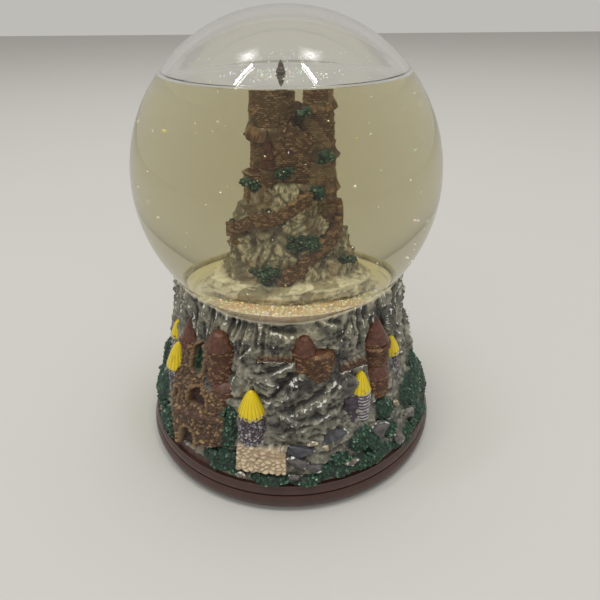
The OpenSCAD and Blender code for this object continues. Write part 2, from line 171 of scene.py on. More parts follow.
ROCK_MID = srgb(112, 109, 97)
ROCK_LIGHT = srgb(158, 154, 138)
ROCK_DARK = srgb(40, 40, 39)
SLATE = srgb(66, 67, 74)
GREEN = srgb(20, 62, 42)
GREEN_DARK = srgb(10, 32, 22)
GREEN_LIGHT = srgb(96, 140, 104)
BRICK = srgb(108, 80, 52)
BRICK_DARK = srgb(56, 38, 28)
BRICK_TAN = srgb(190, 156, 108)
ROOF = srgb(98, 58, 42)
YELLOW = srgb(232, 206, 6)
PURPLE = srgb(92, 78, 92)
PALE = srgb(216, 198, 168)
WHITE = srgb(226, 226, 220)
GOLD = srgb(240, 214, 182)
CREAM = srgb(214, 206, 184)


# ---------------------------------------------------------------- meshes

def make(name, verts, faces, paint=None, dry=0):
    """A mesh object; paint is its colour at each point, with the dry brush in alpha."""
    me = bpy.data.meshes.new(name)
    me.from_pydata((np.asarray(verts, float) * MM).tolist(), [], faces)
    me.polygons.foreach_set("use_smooth", [True] * len(me.polygons))
    if paint is not None:
        rgba = np.ones((len(verts), 4))
        rgba[:, :3] = paint
        rgba[:, 3] = dry
        layer = me.color_attributes.new("paint", "FLOAT_COLOR", "POINT")
        layer.data.foreach_set("color", rgba.ravel())
    me.update()
    ob = bpy.data.objects.new(name, me)
    bpy.context.scene.collection.objects.link(ob)
    return ob


def grid_faces(rows, cols):
    """Quads of a turned grid of points."""
    i = np.arange(rows - 1)[:, None] * cols
    j = np.arange(cols)[None, :]
    k = (j + 1) % cols
    return np.stack([i + j, i + k, i + k + cols, i + j + cols], -1).reshape(-1, 4).tolist()


def capped_faces(rows, cols):
    """The same, closed by fans onto the two points that follow the grid."""
    low, high, last = rows * cols, rows * cols + 1, (rows - 1) * cols
    return (grid_faces(rows, cols) + [[low, (j + 1) % cols, j] for j in range(cols)]
            + [[high, last + j, last + (j + 1) % cols] for j in range(cols)])


def axis_ends(prof):
    return np.array([[0, 0, prof[0, 1]], [0, 0, prof[-1, 1]]])


def around(prof, cols):
    """Angle, radius and height of each point of a turned profile."""
    ang = np.tile(np.arange(cols) * 2 * math.pi / cols, len(prof))
    return ang, np.repeat(prof[:, 0], cols), np.repeat(prof[:, 1], cols)


class Batch:
    """Many small closed shapes that end up as one mesh."""

    def __init__(self):
        self.v, self.f, self.c, self.d, self.n = [], [], [], [], 0

    def add(self, verts, faces, paint, dry):
        self.f += [[a + self.n for a in f] for f in faces]
        self.v.append(verts)
        self.c.append(paint)
        self.d.append(dry)
        self.n += len(verts)

    def turn(self, profile, cols, relief, place):
        """A turned shape with closed ends. relief(ang, r, z) gives how far out, colour and dry brush."""
        prof = np.asarray(profile, float)
        ang, r, z = around(prof, cols)
        out, paint, dry = relief(ang, r, z)
        v = turned(np.maximum(r + out, 0.02), ang, z)
        verts = place(np.vstack([v, axis_ends(prof)]))
        paint = np.vstack([paint, paint[[0, -1]]])
        self.add(verts, capped_faces(len(prof), cols), paint, np.append(dry, [0, 0]))

    def done(self, name):
        return make(name, np.vstack(self.v), self.f, np.vstack(self.c), np.concatenate(self.d))


def at_base(az, r, z=0):
    """Moves local points to azimuth az and r from the axis, +X local facing outward."""
    a = math.radians(az)
    out = np.array([math.sin(a), -math.cos(a), 0])
    side = np.array([math.cos(a), math.sin(a), 0])
    return lambda v: v[:, :1] * out + v[:, 1:2] * side + v[:, 2:] * [0, 0, 1] + out * r + [0, 0, z]


def at_xy(x, y):
    return lambda v: v + [x, y, 0]


# ---------------------------------------------------------------- patterns

def bricks(u, v, length, height, seed, gap):
    """1 on a brick's face and 0 in the joints, and a number for each brick."""
    row = np.floor(v / height).astype(np.int64)
    shift = 0.5 * (row % 2) + 0.35 * hashed(row, row * 0, row * 0, seed)
    t = u / length + shift
    col = np.floor(t).astype(np.int64)
    edge = np.minimum(np.minimum(t - col, 1 - t + col) * length,
                      np.minimum(v / height - row, 1 - v / height + row) * height)
    return soft(edge, 0.0, gap), hashed(col, row, row * 0, seed + 3)


def brick_paint(u, v, p, size, seed, colors, gap=0.17):
    """Brickwork along u and v; size is a brick's length and height, colors are dark, middle and light."""
    dark, mid, light = colors
    face, tone = bricks(u, v, *size, seed, gap)
    grit = fbm(p * 1.7, 3, seed)
    out = face * (0.32 + 0.3 * tone) + 0.25 * (grit - 0.5)
    worn = face * soft(tone * 0.6 + grit * 0.7, 0.62, 0.95)
    col = mix(mix(dark, mid, face * (0.55 + 0.45 * tone)), light, worn)
    return out, col, face * soft(grit + 0.25 * tone, 0.72, 0.95) * 0.4


def brown_brick(u, z, p, ang, seed):
    o, c, d = brick_paint(u, z, p, (1.25, 0.7), seed, (BRICK_DARK, BRICK, srgb(166, 130, 86)))
    age = fbm(p * 0.3, 3, seed + 5)
    return o * 1.1 + 0.8 * (age - 0.5), mix(c, ROOF * 0.75, 0.12 + 0.45 * soft(age, 0.5, 0.62)), d * 0.6


def red_brick(u, z, p, ang, seed):
    o, c, d = brick_paint(u, z, p, (1.4, 0.8), seed, (BRICK_DARK, ROOF, BRICK_TAN))
    age = fbm(p * 0.3, 3, seed + 5)
    return o + 0.8 * (age - 0.5), mix(c, ROOF * (0.6 + 0.5 * age[:, None]), 0.55), d * 0.5


def small_brick(u, z, p, ang, seed):
    colors = BRICK_DARK * 1.5, srgb(150, 114, 82), srgb(190, 156, 118)
    o, c, d = brick_paint(u, z, p, (1.05, 0.52), seed, colors, 0.15)
    age = fbm(p * 0.22, 3, seed + 5)
    c = mix(c, srgb(112, 98, 70), soft(age, 0.52, 0.64) * 0.45)
    c = mix(c, srgb(170, 152, 122), soft(0.46 - age, 0, 0.1) * 0.45)
    return o * 0.95 + 0.7 * (age - 0.5), c, d * 0.5


def curved_courses(u, z, p, ang, seed):
    wave = np.abs(np.mod(z + 0.7 * np.cos(ang) ** 2, 1.25) / 1.25 - 0.5) * 2
    line = soft(wave, 0.55, 0.85)
    grit = fbm(p * 2.1, 3, seed)
    return 0.35 * line, mix(PURPLE, WHITE, line * soft(grit, 0.3, 0.55) * 0.85), 0.15 * line


def plain_stone(u, z, p, ang, seed):
    grit = fbm(p * 0.9, 4, seed)
    return 0.6 * (grit - 0.5), mix(PURPLE * 0.3, PURPLE * 0.75, soft(grit, 0.3, 0.7)), 0 * grit


def speckled_stone(u, z, p, ang, seed):
    near, second, ident, _ = cells(p * 0.95, seed)
    face = soft(second - near, 0.03, 0.3)
    grit = fbm(p * 2.3, 3, seed)
    speck = face * soft(grit + 0.25 * ident, 0.62, 0.85) * 0.75
    col = mix(mix(PURPLE * 0.35, PURPLE, face), WHITE, speck)
    return 0.45 * face + 0.3 * (grit - 0.5), col, 0.2 * face


STYLES = {"brown": brown_brick, "red": red_brick, "small": small_brick, "curved": curved_courses,
          "plain": plain_stone, "stone": speckled_stone}


def tower_relief(radius, seed, style):
    return lambda ang, r, z: STYLES[style](ang * radius, z, turned(r, ang, z) + [seed, 0, 0], ang, seed)


def roof_relief(seed, z0):
    """Overlapping courses of tiles up from z0."""
    def relief(ang, r, z):
        p = turned(r, ang, z) + [seed, 0, 0]
        grit = fbm(p * np.array([1.6, 1.6, 0.7]), 4, seed)
        lap = np.mod(z - z0, 2.1) / 2.1
        col = mix(ROOF * 0.55, ROOF, soft(grit, 0.25, 0.7))
        col = mix(col, srgb(150, 104, 76), soft(grit, 0.66, 0.9) * 0.55)
        return 0.22 * (1 - lap) + 0.35 * (grit - 0.5), col, 0.12 * soft(grit, 0.6, 0.9)
    return relief


def pleat_relief(ribs, seed):
    def relief(ang, r, z):
        lobe = np.abs(np.sin(ang * ribs / 2 + seed))
        grit = fbm((turned(r, ang, z) + [seed, 0, 0]) * 1.5, 3, seed)
        # The grooves between the pleats are painted a darker yellow: painted shade in the folds.
        col = mix(srgb(184, 150, 12), YELLOW, soft(lobe, 0.05, 0.45) * (0.75 + 0.25 * grit))
        return r * 0.055 * (np.sqrt(lobe) - 0.7) + 0.12 * (grit - 0.5), col, np.zeros(len(z))
    return relief


def side_profile(z0, z1, r0, r1, step):
    t = np.linspace(0, 1, max(3, int((z1 - z0) / step)))
    return np.stack([r0 + (r1 - r0) * t, z0 + (z1 - z0) * t], 1)


def cone_profile(z0, r, h, bulge, step, lip):
    """A roof over an eave that hangs lip below its foot; a small bulge makes it a dome."""
    t = np.linspace(0, 1, max(6, int(h / step)))
    body = np.stack([r * (1 - t) ** bulge + 0.03, z0 + h * t], 1)
    return np.vstack([[[r - 1.1, z0 + 0.1], [r - 0.2, z0 - lip], [r, z0 - lip * 0.6]], body])


# ---------------------------------------------------------------- rock casting

COLS, STEP = 1320, 0.235        # points round the casting, and mm between its rows
PATTERN_R = 45                  # radius at which bricks and stones have their right size


def crag(p, seed, size, tilt):
    """Slabs of rock, each a tilted facet. Gives height, closeness to the slab's edge and its tone."""
    near, second, ident, way = cells((p + 9 * warping(p, 0.09, 3.1, seed)) / np.array(size), seed)
    lean = (way[:, 0] * (hashed((ident * 9999).astype(np.int64), np.int64(1), np.int64(2), seed) - 0.5)
            + way[:, 2] * (0.35 + 0.5 * ident))
    return tilt * lean + 0.5 * (ident - 0.5), second - near, ident


def leaves(p, seed):
    """Leaves from 0 in the gaps to 1 on the crowns, and a number for each."""
    near, _, ident, _ = cells(p, seed)
    return 1 - soft(near, 0.1, 0.75), ident


def turn_from(a, centre):
    return (a - centre + 180) % 360 - 180


# Green clumps: azimuth, height, half width in degrees, half height
CLUMPS = [(-24, 27, 4.2, 8), (-25.5, 15.5, 8.5, 4.6), (-6, 12, 9, 2.2), (6, 11.8, 8, 1.8),
          (20, 14, 12, 3.6), (28, 21.5, 6, 5), (30, 13.6, 12, 3.4), (18.5, 17, 4.5, 3), (33, 18, 4, 4),
          (42, 19.5, 4, 3.4), (41, 27, 5, 3.6), (50, 13, 9, 3), (61, 24, 10, 8), (72, 29, 7, 7),
          (66, 13, 8, 3), (-59, 15, 8, 5), (-70, 21, 8, 8), (84, 16, 12, 6), (-88, 15, 11, 6),
          (-84, 30, 5, 6), (112, 14, 10, 5), (134, 20, 9, 9), (157, 13, 12, 4.5), (150, 33, 5, 6),
          (185, 12, 14, 4), (206, 22, 8, 9), (228, 14, 12, 5), (248, 24, 6, 8), (-100, 24, 5, 6)]
# Brick walls: azimuth from and to, height from and to, how far they stand out
GATEHOUSE = -56         # where the left castle's wall starts
WALLS = [(GATEHOUSE, -25, 9, 38, 2.4), (-55.5, -37, 36, 50.5, 1.2), (-13, 2.5, 51.0, 54.2, 2.0),
         (21.5, 35, 45.4, 48.9, 2.1), (116, 140, 9, 27, 2.6), (160, 188, 9, 29, 2.8),
         (208, 222, 40, 44, 1.5), (240, 264, 30, 34, 1.6)]
# Arched openings: azimuth, height of the sill and of the crown, half width, colour inside
ARCHES = [(-42.9, 40.6, 50.4, 3.0, GREEN), (-39.2, 30.4, 36.6, 4.2, BRICK_DARK),
          (-41.4, 13.6, 21.6, 3.0, BRICK_DARK), (128, 9, 19, 3.2, BRICK_DARK),
          (174, 9, 18.5, 3.4, BRICK_DARK), (-52.5, 28, 32, 1.2, BRICK_DARK)]
# Slabs that jut from the rock: azimuth, height, half length, half height, tilt, how far out
SLABS = [(-6.5, 60, 7.5, 3.4, -14, 1.7), (-14, 53, 4.5, 4.0, 62, 1.4), (29, 55, 6, 4.6, 40, 1.6),
         (20, 60.5, 5, 3, -20, 1.2), (-3.5, 46.8, 7.6, 3.6, 24, 2.2), (-13, 45, 4.6, 5, -60, 1.6),
         (3.0, 41.8, 6.4, 4.4, 34, 2.4), (-5, 38, 6, 3.4, 12, 2.0), (8, 33, 7.4, 4.2, 20, 2.6),
         (-3, 31, 5, 3.6, -35, 1.6), (17.5, 37.5, 6, 4, 48, 1.8), (16, 29, 6.2, 3.4, 14, 2.0),
         (23, 41, 4.6, 4.4, -50, 1.4), (-17, 40, 3.6, 4.6, 75, 1.3), (2, 26, 6, 3, 8, 1.7),
         (57, 54, 5, 5, 70, 1.2), (64, 44, 6, 4, 55, 1.8), (80, 40, 7, 5, 30, 2),
         (88, 52, 6, 4, -30, 1.6), (-75, 50, 5, 6, 80, 1.4), (-95, 44, 7, 5, 20, 2),
         (-92, 56, 6, 4, -40, 1.6), (105, 45, 6, 5, -25, 2), (143, 52, 6, 5, 35, 1.8),
         (155, 42, 5, 4, -50, 1.6), (192, 50, 7, 4, 20, 2), (203, 38, 7, 5, -30, 2.2),
         (230, 54, 6, 4, 40, 1.7), (238, 43, 6, 5, 10, 2), (246, 36, 6, 4, -35, 1.8),
         (112, 34, 7, 4, 15, 2), (186, 60, 6, 3, -15, 1.4)]


def casting_profile():
    """From the axis under the casting, up its face, over the rim and down the ball's seat, with the first
    row of the face and the row after the rim."""
    z = np.arange(ROCK_Z[0], RIM_Z - 0.5, STEP)
    outer = np.stack([np.interp(z, ROCK_Z, ROCK_R) + 0.9 * soft(z, 14, 24) * soft(52 - z, 0, 12), z], 1)
    rim = [[40.1, 66.2], [39.7, RIM_Z], [39.2, 66.3], [38.7, 65.6], [38.3, 64.7]]
    seat_z = np.linspace(64.2, 59.5, 8)
    seat = np.stack([np.sqrt(SEAT_R ** 2 - (GLOBE_Z - seat_z) ** 2), seat_z], 1)
    inside = [[33.6, 58.9], [33.6, 48.5], [16, 48.5]]
    below = [[16, 44.5], [38.5, 44.5], [46.4, 14.5], [46.4, 10]]
    first = len(below)
    return np.vstack([below, outer, rim, seat, inside]), first, first + len(outer) + len(rim)


def blur(grid, n):
    """Mean over a square window, joined round the azimuth and held at the top and bottom."""
    g = np.concatenate([grid[:, -n:], grid, grid[:, :n]], 1)
    c = np.cumsum(np.pad(g, ((0, 0), (1, 0))), 1)
    g = (c[:, 2 * n + 1:] - c[:, :-2 * n - 1])[:, :grid.shape[1]] / (2 * n + 1)
    g = np.pad(g, ((n, n), (0, 0)), mode="edge")
    c = np.cumsum(np.pad(g, ((1, 0), (0, 0))), 0)
    return (c[2 * n + 1:] - c[:-2 * n - 1]) / (2 * n + 1)


class Surface:
    """The casting point by point: how far it stands out, its colour and its dry brush."""

    def __init__(self, az, z, p):
        self.az, self.z, self.p = az, z, p
        self.warp = warping(p, 0.07, 5.3, 60)
        self.fine = fbm(p * 0.9, 4, 23)
        self.u = np.radians(az) * PATTERN_R

    def cover(self, where, out, col, dry=0.0):
        self.out = lerp(self.out, out, where)
        self.col = mix(self.col, col, where)
        self.dry = lerp(self.dry, dry, where)


def jut_slabs(s, scratch, tone):
    """Stands the slabs out of the rock. Gives the pale lines on their crests and the painted shade round
    them.
    """
    crest = dark = np.zeros(len(s.z))
    hair = soft(scratch, 0.45, 0.66)
    for k, (az, cz, half_l, half_h, tilt, far) in enumerate(SLABS):
        x = turn_from(s.az, az) * math.pi / 180 * 43 + 6.4 * s.warp[:, 0]
        y = s.z - cz + 6.4 * s.warp[:, 1]
        t = math.radians(tilt)
        along = (x * math.cos(t) + y * math.sin(t)) / half_l
        across = (-x * math.sin(t) + y * math.cos(t)) / half_h + 0.22 * (s.fine - 0.5)
        win = soft(1.05 - np.abs(along + 0.25 * (s.fine - 0.5)), 0, 0.35)
        face = soft(across, -1.1, 0.75) * soft(1.0 - across, 0.0, 0.12) * win
        s.out = s.out + far * face * (0.75 + 0.25 * tone)
        crest = np.maximum(crest, win * np.exp(-((across - 0.86) / 0.075) ** 2) * hair)
        inner = 0.8 * win * np.exp(-((across - 0.5) / 0.16) ** 2)
        crest = np.maximum(crest, inner * soft(scratch, 0.64, 0.74))
        # Painted shade along the drop past each slab's crest, and over the lower face of every third slab.
        dark = np.maximum(dark, win * soft(across, 0.95, 1.1) * soft(1.6 - across, 0, 0.5) * 0.75)
        if k % 3 == 0:
            dark = np.maximum(dark, 0.8 * soft(across, -1, -0.2) * soft(0.8 - across, 0, 0.4) * win)
    return crest, dark


def lay_rock(s, rows):
    """Rough crags with slabs jutting out, and hanging strands below the rim."""
    p, z = s.p, s.z
    w = p + 10 * s.warp
    slab, _, tone = crag(p, 11, (7.5, 7.5, 6.0), 1.7)
    small, _, small_tone = crag(p, 31, (2.4, 2.4, 2.0), 0.75)
    ridge = ridged(w * 0.12, 3, 13) - 0.45
    rad = np.radians(s.az)
    strand = ridged(np.stack([rad * 19 + 1.6 * fbm(p * 0.06, 2, 4), rad * 0,
                              z * 0.07 + 0.7 * fbm(p * 0.1, 2, 5)], 1), 3, 3)
    up = soft(z, 42, 57) * (1 - 0.85 * np.exp(-((s.az - 6) / 24.0) ** 2))
    rock = slab * 0.75 + small * 0.55 + 2.4 * ridge
    s.out = lerp(rock, 3.0 * (strand - 0.45) + 0.5 * small, up) + 0.8 * (s.fine - 0.5)
    scratch = ridged(w * [0.5, 0.5, 0.9], 3, 97)
    crest, dark = jut_slabs(s, scratch, small_tone)
    grid = s.out.reshape(rows, COLS)
    hollow = (grid - blur(grid, 6)).ravel()
    blue = soft(fbm(p * 0.10, 3, 41), 0.47, 0.6) * soft(tone, 0.5, 0.7)
    shadow = 0.8 * dark + 0.8 * soft(-hollow, 0.12, 0.55) + 1.1 * up * soft(0.52 - strand, 0, 0.25)
    s.col = mix(ROCK_MID, ROCK_LIGHT, soft(s.fine + 0.3 * small_tone, 0.5, 0.95))
    s.col = mix(s.col, SLATE * 0.62, blue * 0.6)
    s.col = mix(s.col, ROCK_DARK, np.clip(shadow, 0, 1) * 0.92)
    brushed = soft(hollow, 0.2, 0.8) * soft(scratch, 0.35, 0.7)
    s.dry = crest * 0.65 + brushed * (0.25 + 1.0 * up + 0.5 * blue)
    s.out = s.out * soft(z, 10, 12)


def lay_ground(s):
    """Bare brown ground before the gatehouse."""
    ground = soft(s.az, -54, -50) * soft(-29 - s.az, 0, 3) * soft(13.2 - s.z, 0, 1.0)
    s.cover(ground, 0.5 * (s.fine - 0.5), srgb(74, 50, 42))


def lay_foliage(s):
    """Clumps of leaves. Gives the leaves' colour, which one arch shows too."""
    green = np.full(len(s.z), -9.0)
    for az, cz, wa, wz in CLUMPS:
        green = np.maximum(green, 1 - np.sqrt((turn_from(s.az, az) / wa) ** 2 + ((s.z - cz) / wz) ** 2))
    green = green + 0.6 * (fbm(s.p * 0.35, 3, 51) - 0.5)
    leaf, ident = leaves(s.p / 1.15, 61)
    lift = 0.5 + 1.5 * soft(green, 0.05, 0.6) + 0.8 * leaf + 1.2 * (fbm(s.p * 0.3, 2, 9) - 0.4)
    col = mix(mix(GREEN_DARK, GREEN, soft(leaf, 0.1, 0.6)), GREEN_LIGHT,
              soft(leaf * 0.7 + ident * 0.6, 0.9, 1.15) * 0.6)
    s.cover(soft(green, 0.0, 0.12), lift, col, soft(leaf * 0.7 + ident * 0.55, 0.92, 1.12) * 0.55)
    return col


def lay_walls(s):
    """Brick walls of the castles and bridges, and the ledge between the left castle's two storeys."""
    az, z = s.az, s.z
    face, ident = stones_of(np.stack([s.u / 1.6, z / 0.8, z * 0], 1) + 1.6 * s.warp, 73)
    grit = fbm(s.p * 1.7, 3, 75)
    relief = face * (0.35 + 0.45 * ident) + 0.5 * (grit - 0.5)
    brick = mix(mix(BRICK_DARK, BRICK, face * (0.45 + 0.55 * ident)), BRICK_TAN,
                face * soft(ident * 0.5 + grit * 0.7, 0.62, 0.85) * 0.55)
    brushed = face * soft(grit + 0.2 * ident, 0.74, 0.95) * 0.25
    for a0, a1, z0, z1, thick in WALLS:
        da, width = turn_from(az, a0), a1 - a0
        left, foot, arch, col, dry = da, float(z0), 0, brick, brushed
        bridge = z0 > 30 and z1 - z0 < 4.5
        top = z1 + (0.2 if bridge else 0.5) * np.sign(np.sin(da * 1.35))
        if a0 == GATEHOUSE:     # it narrows towards its foot, which climbs to the right
            left = da - 0.42 * np.clip(30 - z, 0, 17)
            foot = 12.6 + np.clip(az + 48, 0, 30) * 0.36
            top = 38 - 8 * soft(az, -29, -25)
        if bridge:              # a low arch with a white line over it
            arch = 0.5 * np.sqrt(np.clip(1 - ((da - width / 2) / (width * 0.42)) ** 2, 0, 1))
            col = mix(brick, ROOF * 0.5, 0.5)
            dry = brushed + soft(z, z0 + arch, z0 + arch + 0.2) * soft(z0 + arch + 0.9 - z, 0, 0.3)
        inside = (soft(left, 0, 0.6) * soft(width - da, 0, 0.6)
                  * soft(z, foot + arch, foot + arch + 0.4) * soft(top - z, 0, 0.4))
        s.cover(inside, thick + relief, col, dry)
    ledge_z = 27.4 + 0.18 * (az + 40)
    ledge = soft(az, -52, -50) * soft(-26 - az, 0, 1) * np.exp(-((z - ledge_z) / 0.9) ** 2)
    s.out = s.out + 1.2 * ledge
    s.col = mix(s.col, srgb(84, 56, 46), ledge * 0.7)


def lay_garden_wall(s):
    """Pale wall in irregular stones."""
    az, z = s.az, s.z
    top = 23.4 + 0.25 * np.sin(az * 1.7) + 0.8 * (s.fine - 0.5)
    garden = soft(az, -19.6, -19.0) * soft(-0.8 - az, 0, 0.6) * soft(z, 14.4, 15.0) * soft(top - z, 0, 0.4)
    stone, ident = stones_of(np.stack([s.u / 1.9, z / 1.25, z * 0], 1) + s.warp, 81)
    s.cover(garden, 1.9 + 0.55 * stone + 0.3 * ident,
            mix(srgb(172, 148, 118), PALE, stone * (0.8 + 0.2 * ident)),
            0.1 * stone + 0.5 * soft(z, top - 1.2, top - 0.3))


def cut_arches(s, leaf_col):
    z = s.z
    for az, z0, z1, half, fill in ARCHES:
        x = turn_from(s.az, az) * math.pi / 180 * 47
        spring = z1 - half
        d = np.where(z > spring, np.hypot(x, z - spring), np.abs(x))
        above = soft(z, z0, z0 + 0.3)
        hole = soft(half - d, 0, 0.35) * above
        ring = soft(half + 1.1 - d, 0, 0.3) * above * (1 - hole)
        if fill is GREEN:
            # The leaves in the window darken toward the arch's crown: painted shade under the arch.
            inner, deep = mix(leaf_col, GREEN_DARK * 0.5, soft(z, z1 - 5, z1 - 1)), -0.6
        else:
            plank = soft(np.abs(np.mod(x / 0.9, 1) - 0.5), 0.35, 0.5)
            inner, deep = mix(ROOF * 0.42, fill * 0.2, plank), s.out - 1.9
        s.col = mix(s.col, mix(BRICK, BRICK_TAN, 0.35), 0.6 * ring)
        s.cover(hole, deep, inner)
        s.out = s.out + 0.35 * ring


def build_casting():
    prof, first, last = casting_profile()
    rows = len(prof)
    az = np.tile(np.arange(COLS) * 360.0 / COLS - 180, rows)
    r, z, row = (np.repeat(q, COLS) for q in (prof[:, 0], prof[:, 1], np.arange(rows)))
    rad = np.radians(az)
    s = Surface(az, z, from_front(r, rad, z))
    lay_rock(s, rows)
    lay_ground(s)
    leaf_col = lay_foliage(s)
    lay_walls(s)
    lay_garden_wall(s)
    cut_arches(s, leaf_col)

    live = (row >= first) & (row < last)
    rim_fade = np.maximum(soft(66.7 - z, 0.0, 2.5), 0.25)
    out = np.where(live, s.out * np.where(z > 64, rim_fade, 1), 0)
    r2 = np.minimum(r + out, CASTING_MAX_R)
    lip = live & (row >= last - 5)
    z2 = z + np.where(lip, 0.35 * (fbm(s.p * 0.8, 3, 91) - 0.7), 0)
    # The rim sits lower round the front of the ball, so it follows the ball inward as it drops
    dip = 5.2 * soft(az, -46, -27) * (1 - soft(az, -2, 48)) * soft(z, 50, 66)
    on_ball = np.sqrt(SEAT_R ** 2 - (GLOBE_Z - z) ** 2) - np.sqrt(SEAT_R ** 2 - (GLOBE_Z - z + dip) ** 2)
    r2 = np.where((z > 59) & (row >= first), np.maximum(r2 - on_ball * soft(z, 59, 65), 33.7), r2)
    z2 = np.where(row >= first, z2 - dip, z2)
    # The rows under the casting are painted dark: painted shade where they show in the gap at the plinth. The
    # rows inside the seat are gold.
    col = np.where(live[:, None], s.col, np.where((row < first)[:, None], ROCK_DARK * 1.5, GOLD))
    pale = (live & (z > 64.2)) * soft(z + 0.9 * (s.fine - 0.5), 64.8, 66.2) * 0.85
    col = mix(col, mix(ROCK_LIGHT, CREAM, 0.6), pale)
    verts = np.vstack([from_front(r2, rad, z2), axis_ends(prof)])
    dry = np.append(np.where(live, s.dry, 0), [0, 0])
    return make("rock_casting", verts, capped_faces(rows, COLS), np.vstack([col, GOLD, GOLD]), dry)


# Slim turrets: azimuth, axis distance, foot, eaves, body radius, roof radius, roof height, pattern
TURRETS = [(-14.6, 46.4, 22, 34.3, 4.3, 4.5, 8.3, "stone"),
           (31.6, 44.4, 26, 37.3, 3.4, 3.5, 7.2, "curved"), (-61.5, 44, 17, 36, 4.5, 5.1, 8.6, "stone"),
           (-73, 41.9, 34, 42.4, 2.8, 3.2, 6.0, "stone"), (54.5, 42.6, 33, 43.2, 2.9, 3.2, 5.9, "stone"),
           (104, 45.8, 19, 30, 4.1, 4.5, 8.6, "stone"), (146, 43.8, 26, 37, 3.6, 3.8, 7.5, "curved"),
           (196, 46.6, 19, 30, 4.3, 4.6, 8.6, "stone"), (238, 43.8, 28, 38, 3.5, 3.7, 7, "curved")]
# Castle towers: the same, with the height over which the foot narrows to a point
TOWERS = [(-52.8, 40.6, 38, 49.6, 3.5, 3.9, 7.4, "brown", 0),
          (-32.2, 40.8, 34, 52.6, 4.5, 4.7, 5.4, "red", 0),
          (-28.6, 42.4, 29, 39, 4.7, 4.9, 2.4, "red", 4), (7.4, 39.6, 42, 53.7, 3.6, 3.9, 5.2, "red", 6),
          (13.0, 39.6, 36.5, 53.2, 5.3, 5.6, 0.9, "brown", 11),
          (43.6, 40.4, 36, 51.2, 4.6, 4.9, 8.7, "brown", 0),
          (41.6, 42.7, 29, 39.4, 4.5, 4.9, 4.2, "brown", 3), (122, 40.4, 20, 48, 5.1, 5.6, 8, "brown", 0),
          (168, 40.6, 18, 46, 5.3, 5.7, 8, "red", 0), (180, 41.4, 18, 38, 4.5, 5, 6, "brown", 0),
          (217, 40.2, 28, 50, 4.3, 4.9, 7.5, "brown", 6), (258, 40.6, 26, 48, 4.7, 5.2, 8, "red", 8)]
# Round wall stubs with no roof: azimuth, axis distance, foot, top, radius
STUBS = [(26.4, 44.6, 26.5, 36.6, 2.9), (-56.8, 42.0, 38, 43.5, 2.2)]


def build_towers():
    bodies, roofs, pleats = Batch(), Batch(), Batch()
    for k, (az, r, z0, z1, rb, rr, h, style) in enumerate(TURRETS):
        place = at_base(az, r)
        body = side_profile(z0, z1 + 0.6, rb * 1.1, rb * 0.96, 0.22)
        bodies.turn(body, 120, tower_relief(rb, 100 + k, style), place)
        ribs = 19 if rr > 4 else 15
        pleats.turn(cone_profile(z1, rr, h, 0.62, 0.22, 0.9), 132, pleat_relief(ribs, k), place)
    for k, (az, r, z0, z1, rb, rr, h, style, taper) in enumerate(TOWERS):
        place = at_base(az, r)
        prof = side_profile(z0, z1 + 0.4, rb * 1.02, rb * 0.97, 0.2)
        if taper:
            t = np.clip((prof[:, 1] - z0) / taper, 0, 1)
            prof[:, 0] *= 0.12 + 0.88 * t ** 0.75
        bodies.turn(prof, 170, tower_relief(rb, 140 + k, style), place)
        dome = 0.45 if 2 < h < 6 else 0.86
        roofs.turn(cone_profile(z1, rr, h, dome, 0.2, 0.6), 150, roof_relief(170 + k, z1), place)
        if h > 6:
            band = [[rb, z1 - 2.2], [rb + 0.75, z1 - 1.9], [rb + 0.8, z1 - 1.1], [rb, z1 - 0.8]]
            bodies.turn(band, 90, tower_relief(rb, 200 + k, "red"), place)
    for k, (az, r, z0, z1, rb) in enumerate(STUBS):
        stub = side_profile(z0, z1, rb * 1.05, rb, 0.22)
        bodies.turn(stub, 90, tower_relief(rb, 230 + k, "plain"), at_base(az, r))
    return bodies.done("castle_towers"), roofs.done("castle_roofs"), pleats.done("turret_roofs")


def boulder(batch, rng, place, size, col, seed):
    """A stone broken to flat faces: the hull of a few points, with worn edges."""
    bm = bmesh.new()
    for _ in range(13):
        d = rng.normal(size=3)
        bm.verts.new(d / np.linalg.norm(d) * size)
    hull = bmesh.ops.convex_hull(bm, input=bm.verts)
    loose = [g for g in hull["geom_interior"] if isinstance(g, bmesh.types.BMVert)]
    bmesh.ops.delete(bm, geom=loose, context="VERTS")
    bmesh.ops.bevel(bm, geom=list(bm.edges), offset=min(size) * 0.07, segments=2, affect="EDGES", profile=0.6)
    bmesh.ops.triangulate(bm, faces=bm.faces)
    bmesh.ops.subdivide_edges(bm, edges=bm.edges, cuts=3, use_grid_fill=True)
    bm.verts.index_update()
    bm.normal_update()
    v = np.array([q.co[:] for q in bm.verts])
    n = np.array([q.normal[:] for q in bm.verts])
    faces = [[q.index for q in f.verts] for f in bm.faces]
    bm.free()
    grit = fbm(v * 1.1 + seed, 4, seed)
    v = v + n * ((grit - 0.5) * 0.55)[:, None]
    worn = soft(np.sqrt(((v / size) ** 2).sum(1)), 0.84, 0.97) * soft(grit, 0.3, 0.6)
    blot = soft(np.abs(fbm(v * 0.5 + seed, 2, seed + 2) - 0.5), 0.0, 0.16)
    paint = mix(mix(col * 1.3, col * 0.5, blot), ROCK_LIGHT, soft(grit, 0.66, 0.84) * 0.5)
    batch.add(place(v), faces, paint, worn * 0.75 + soft(grit, 0.6, 0.85) * 0.3)


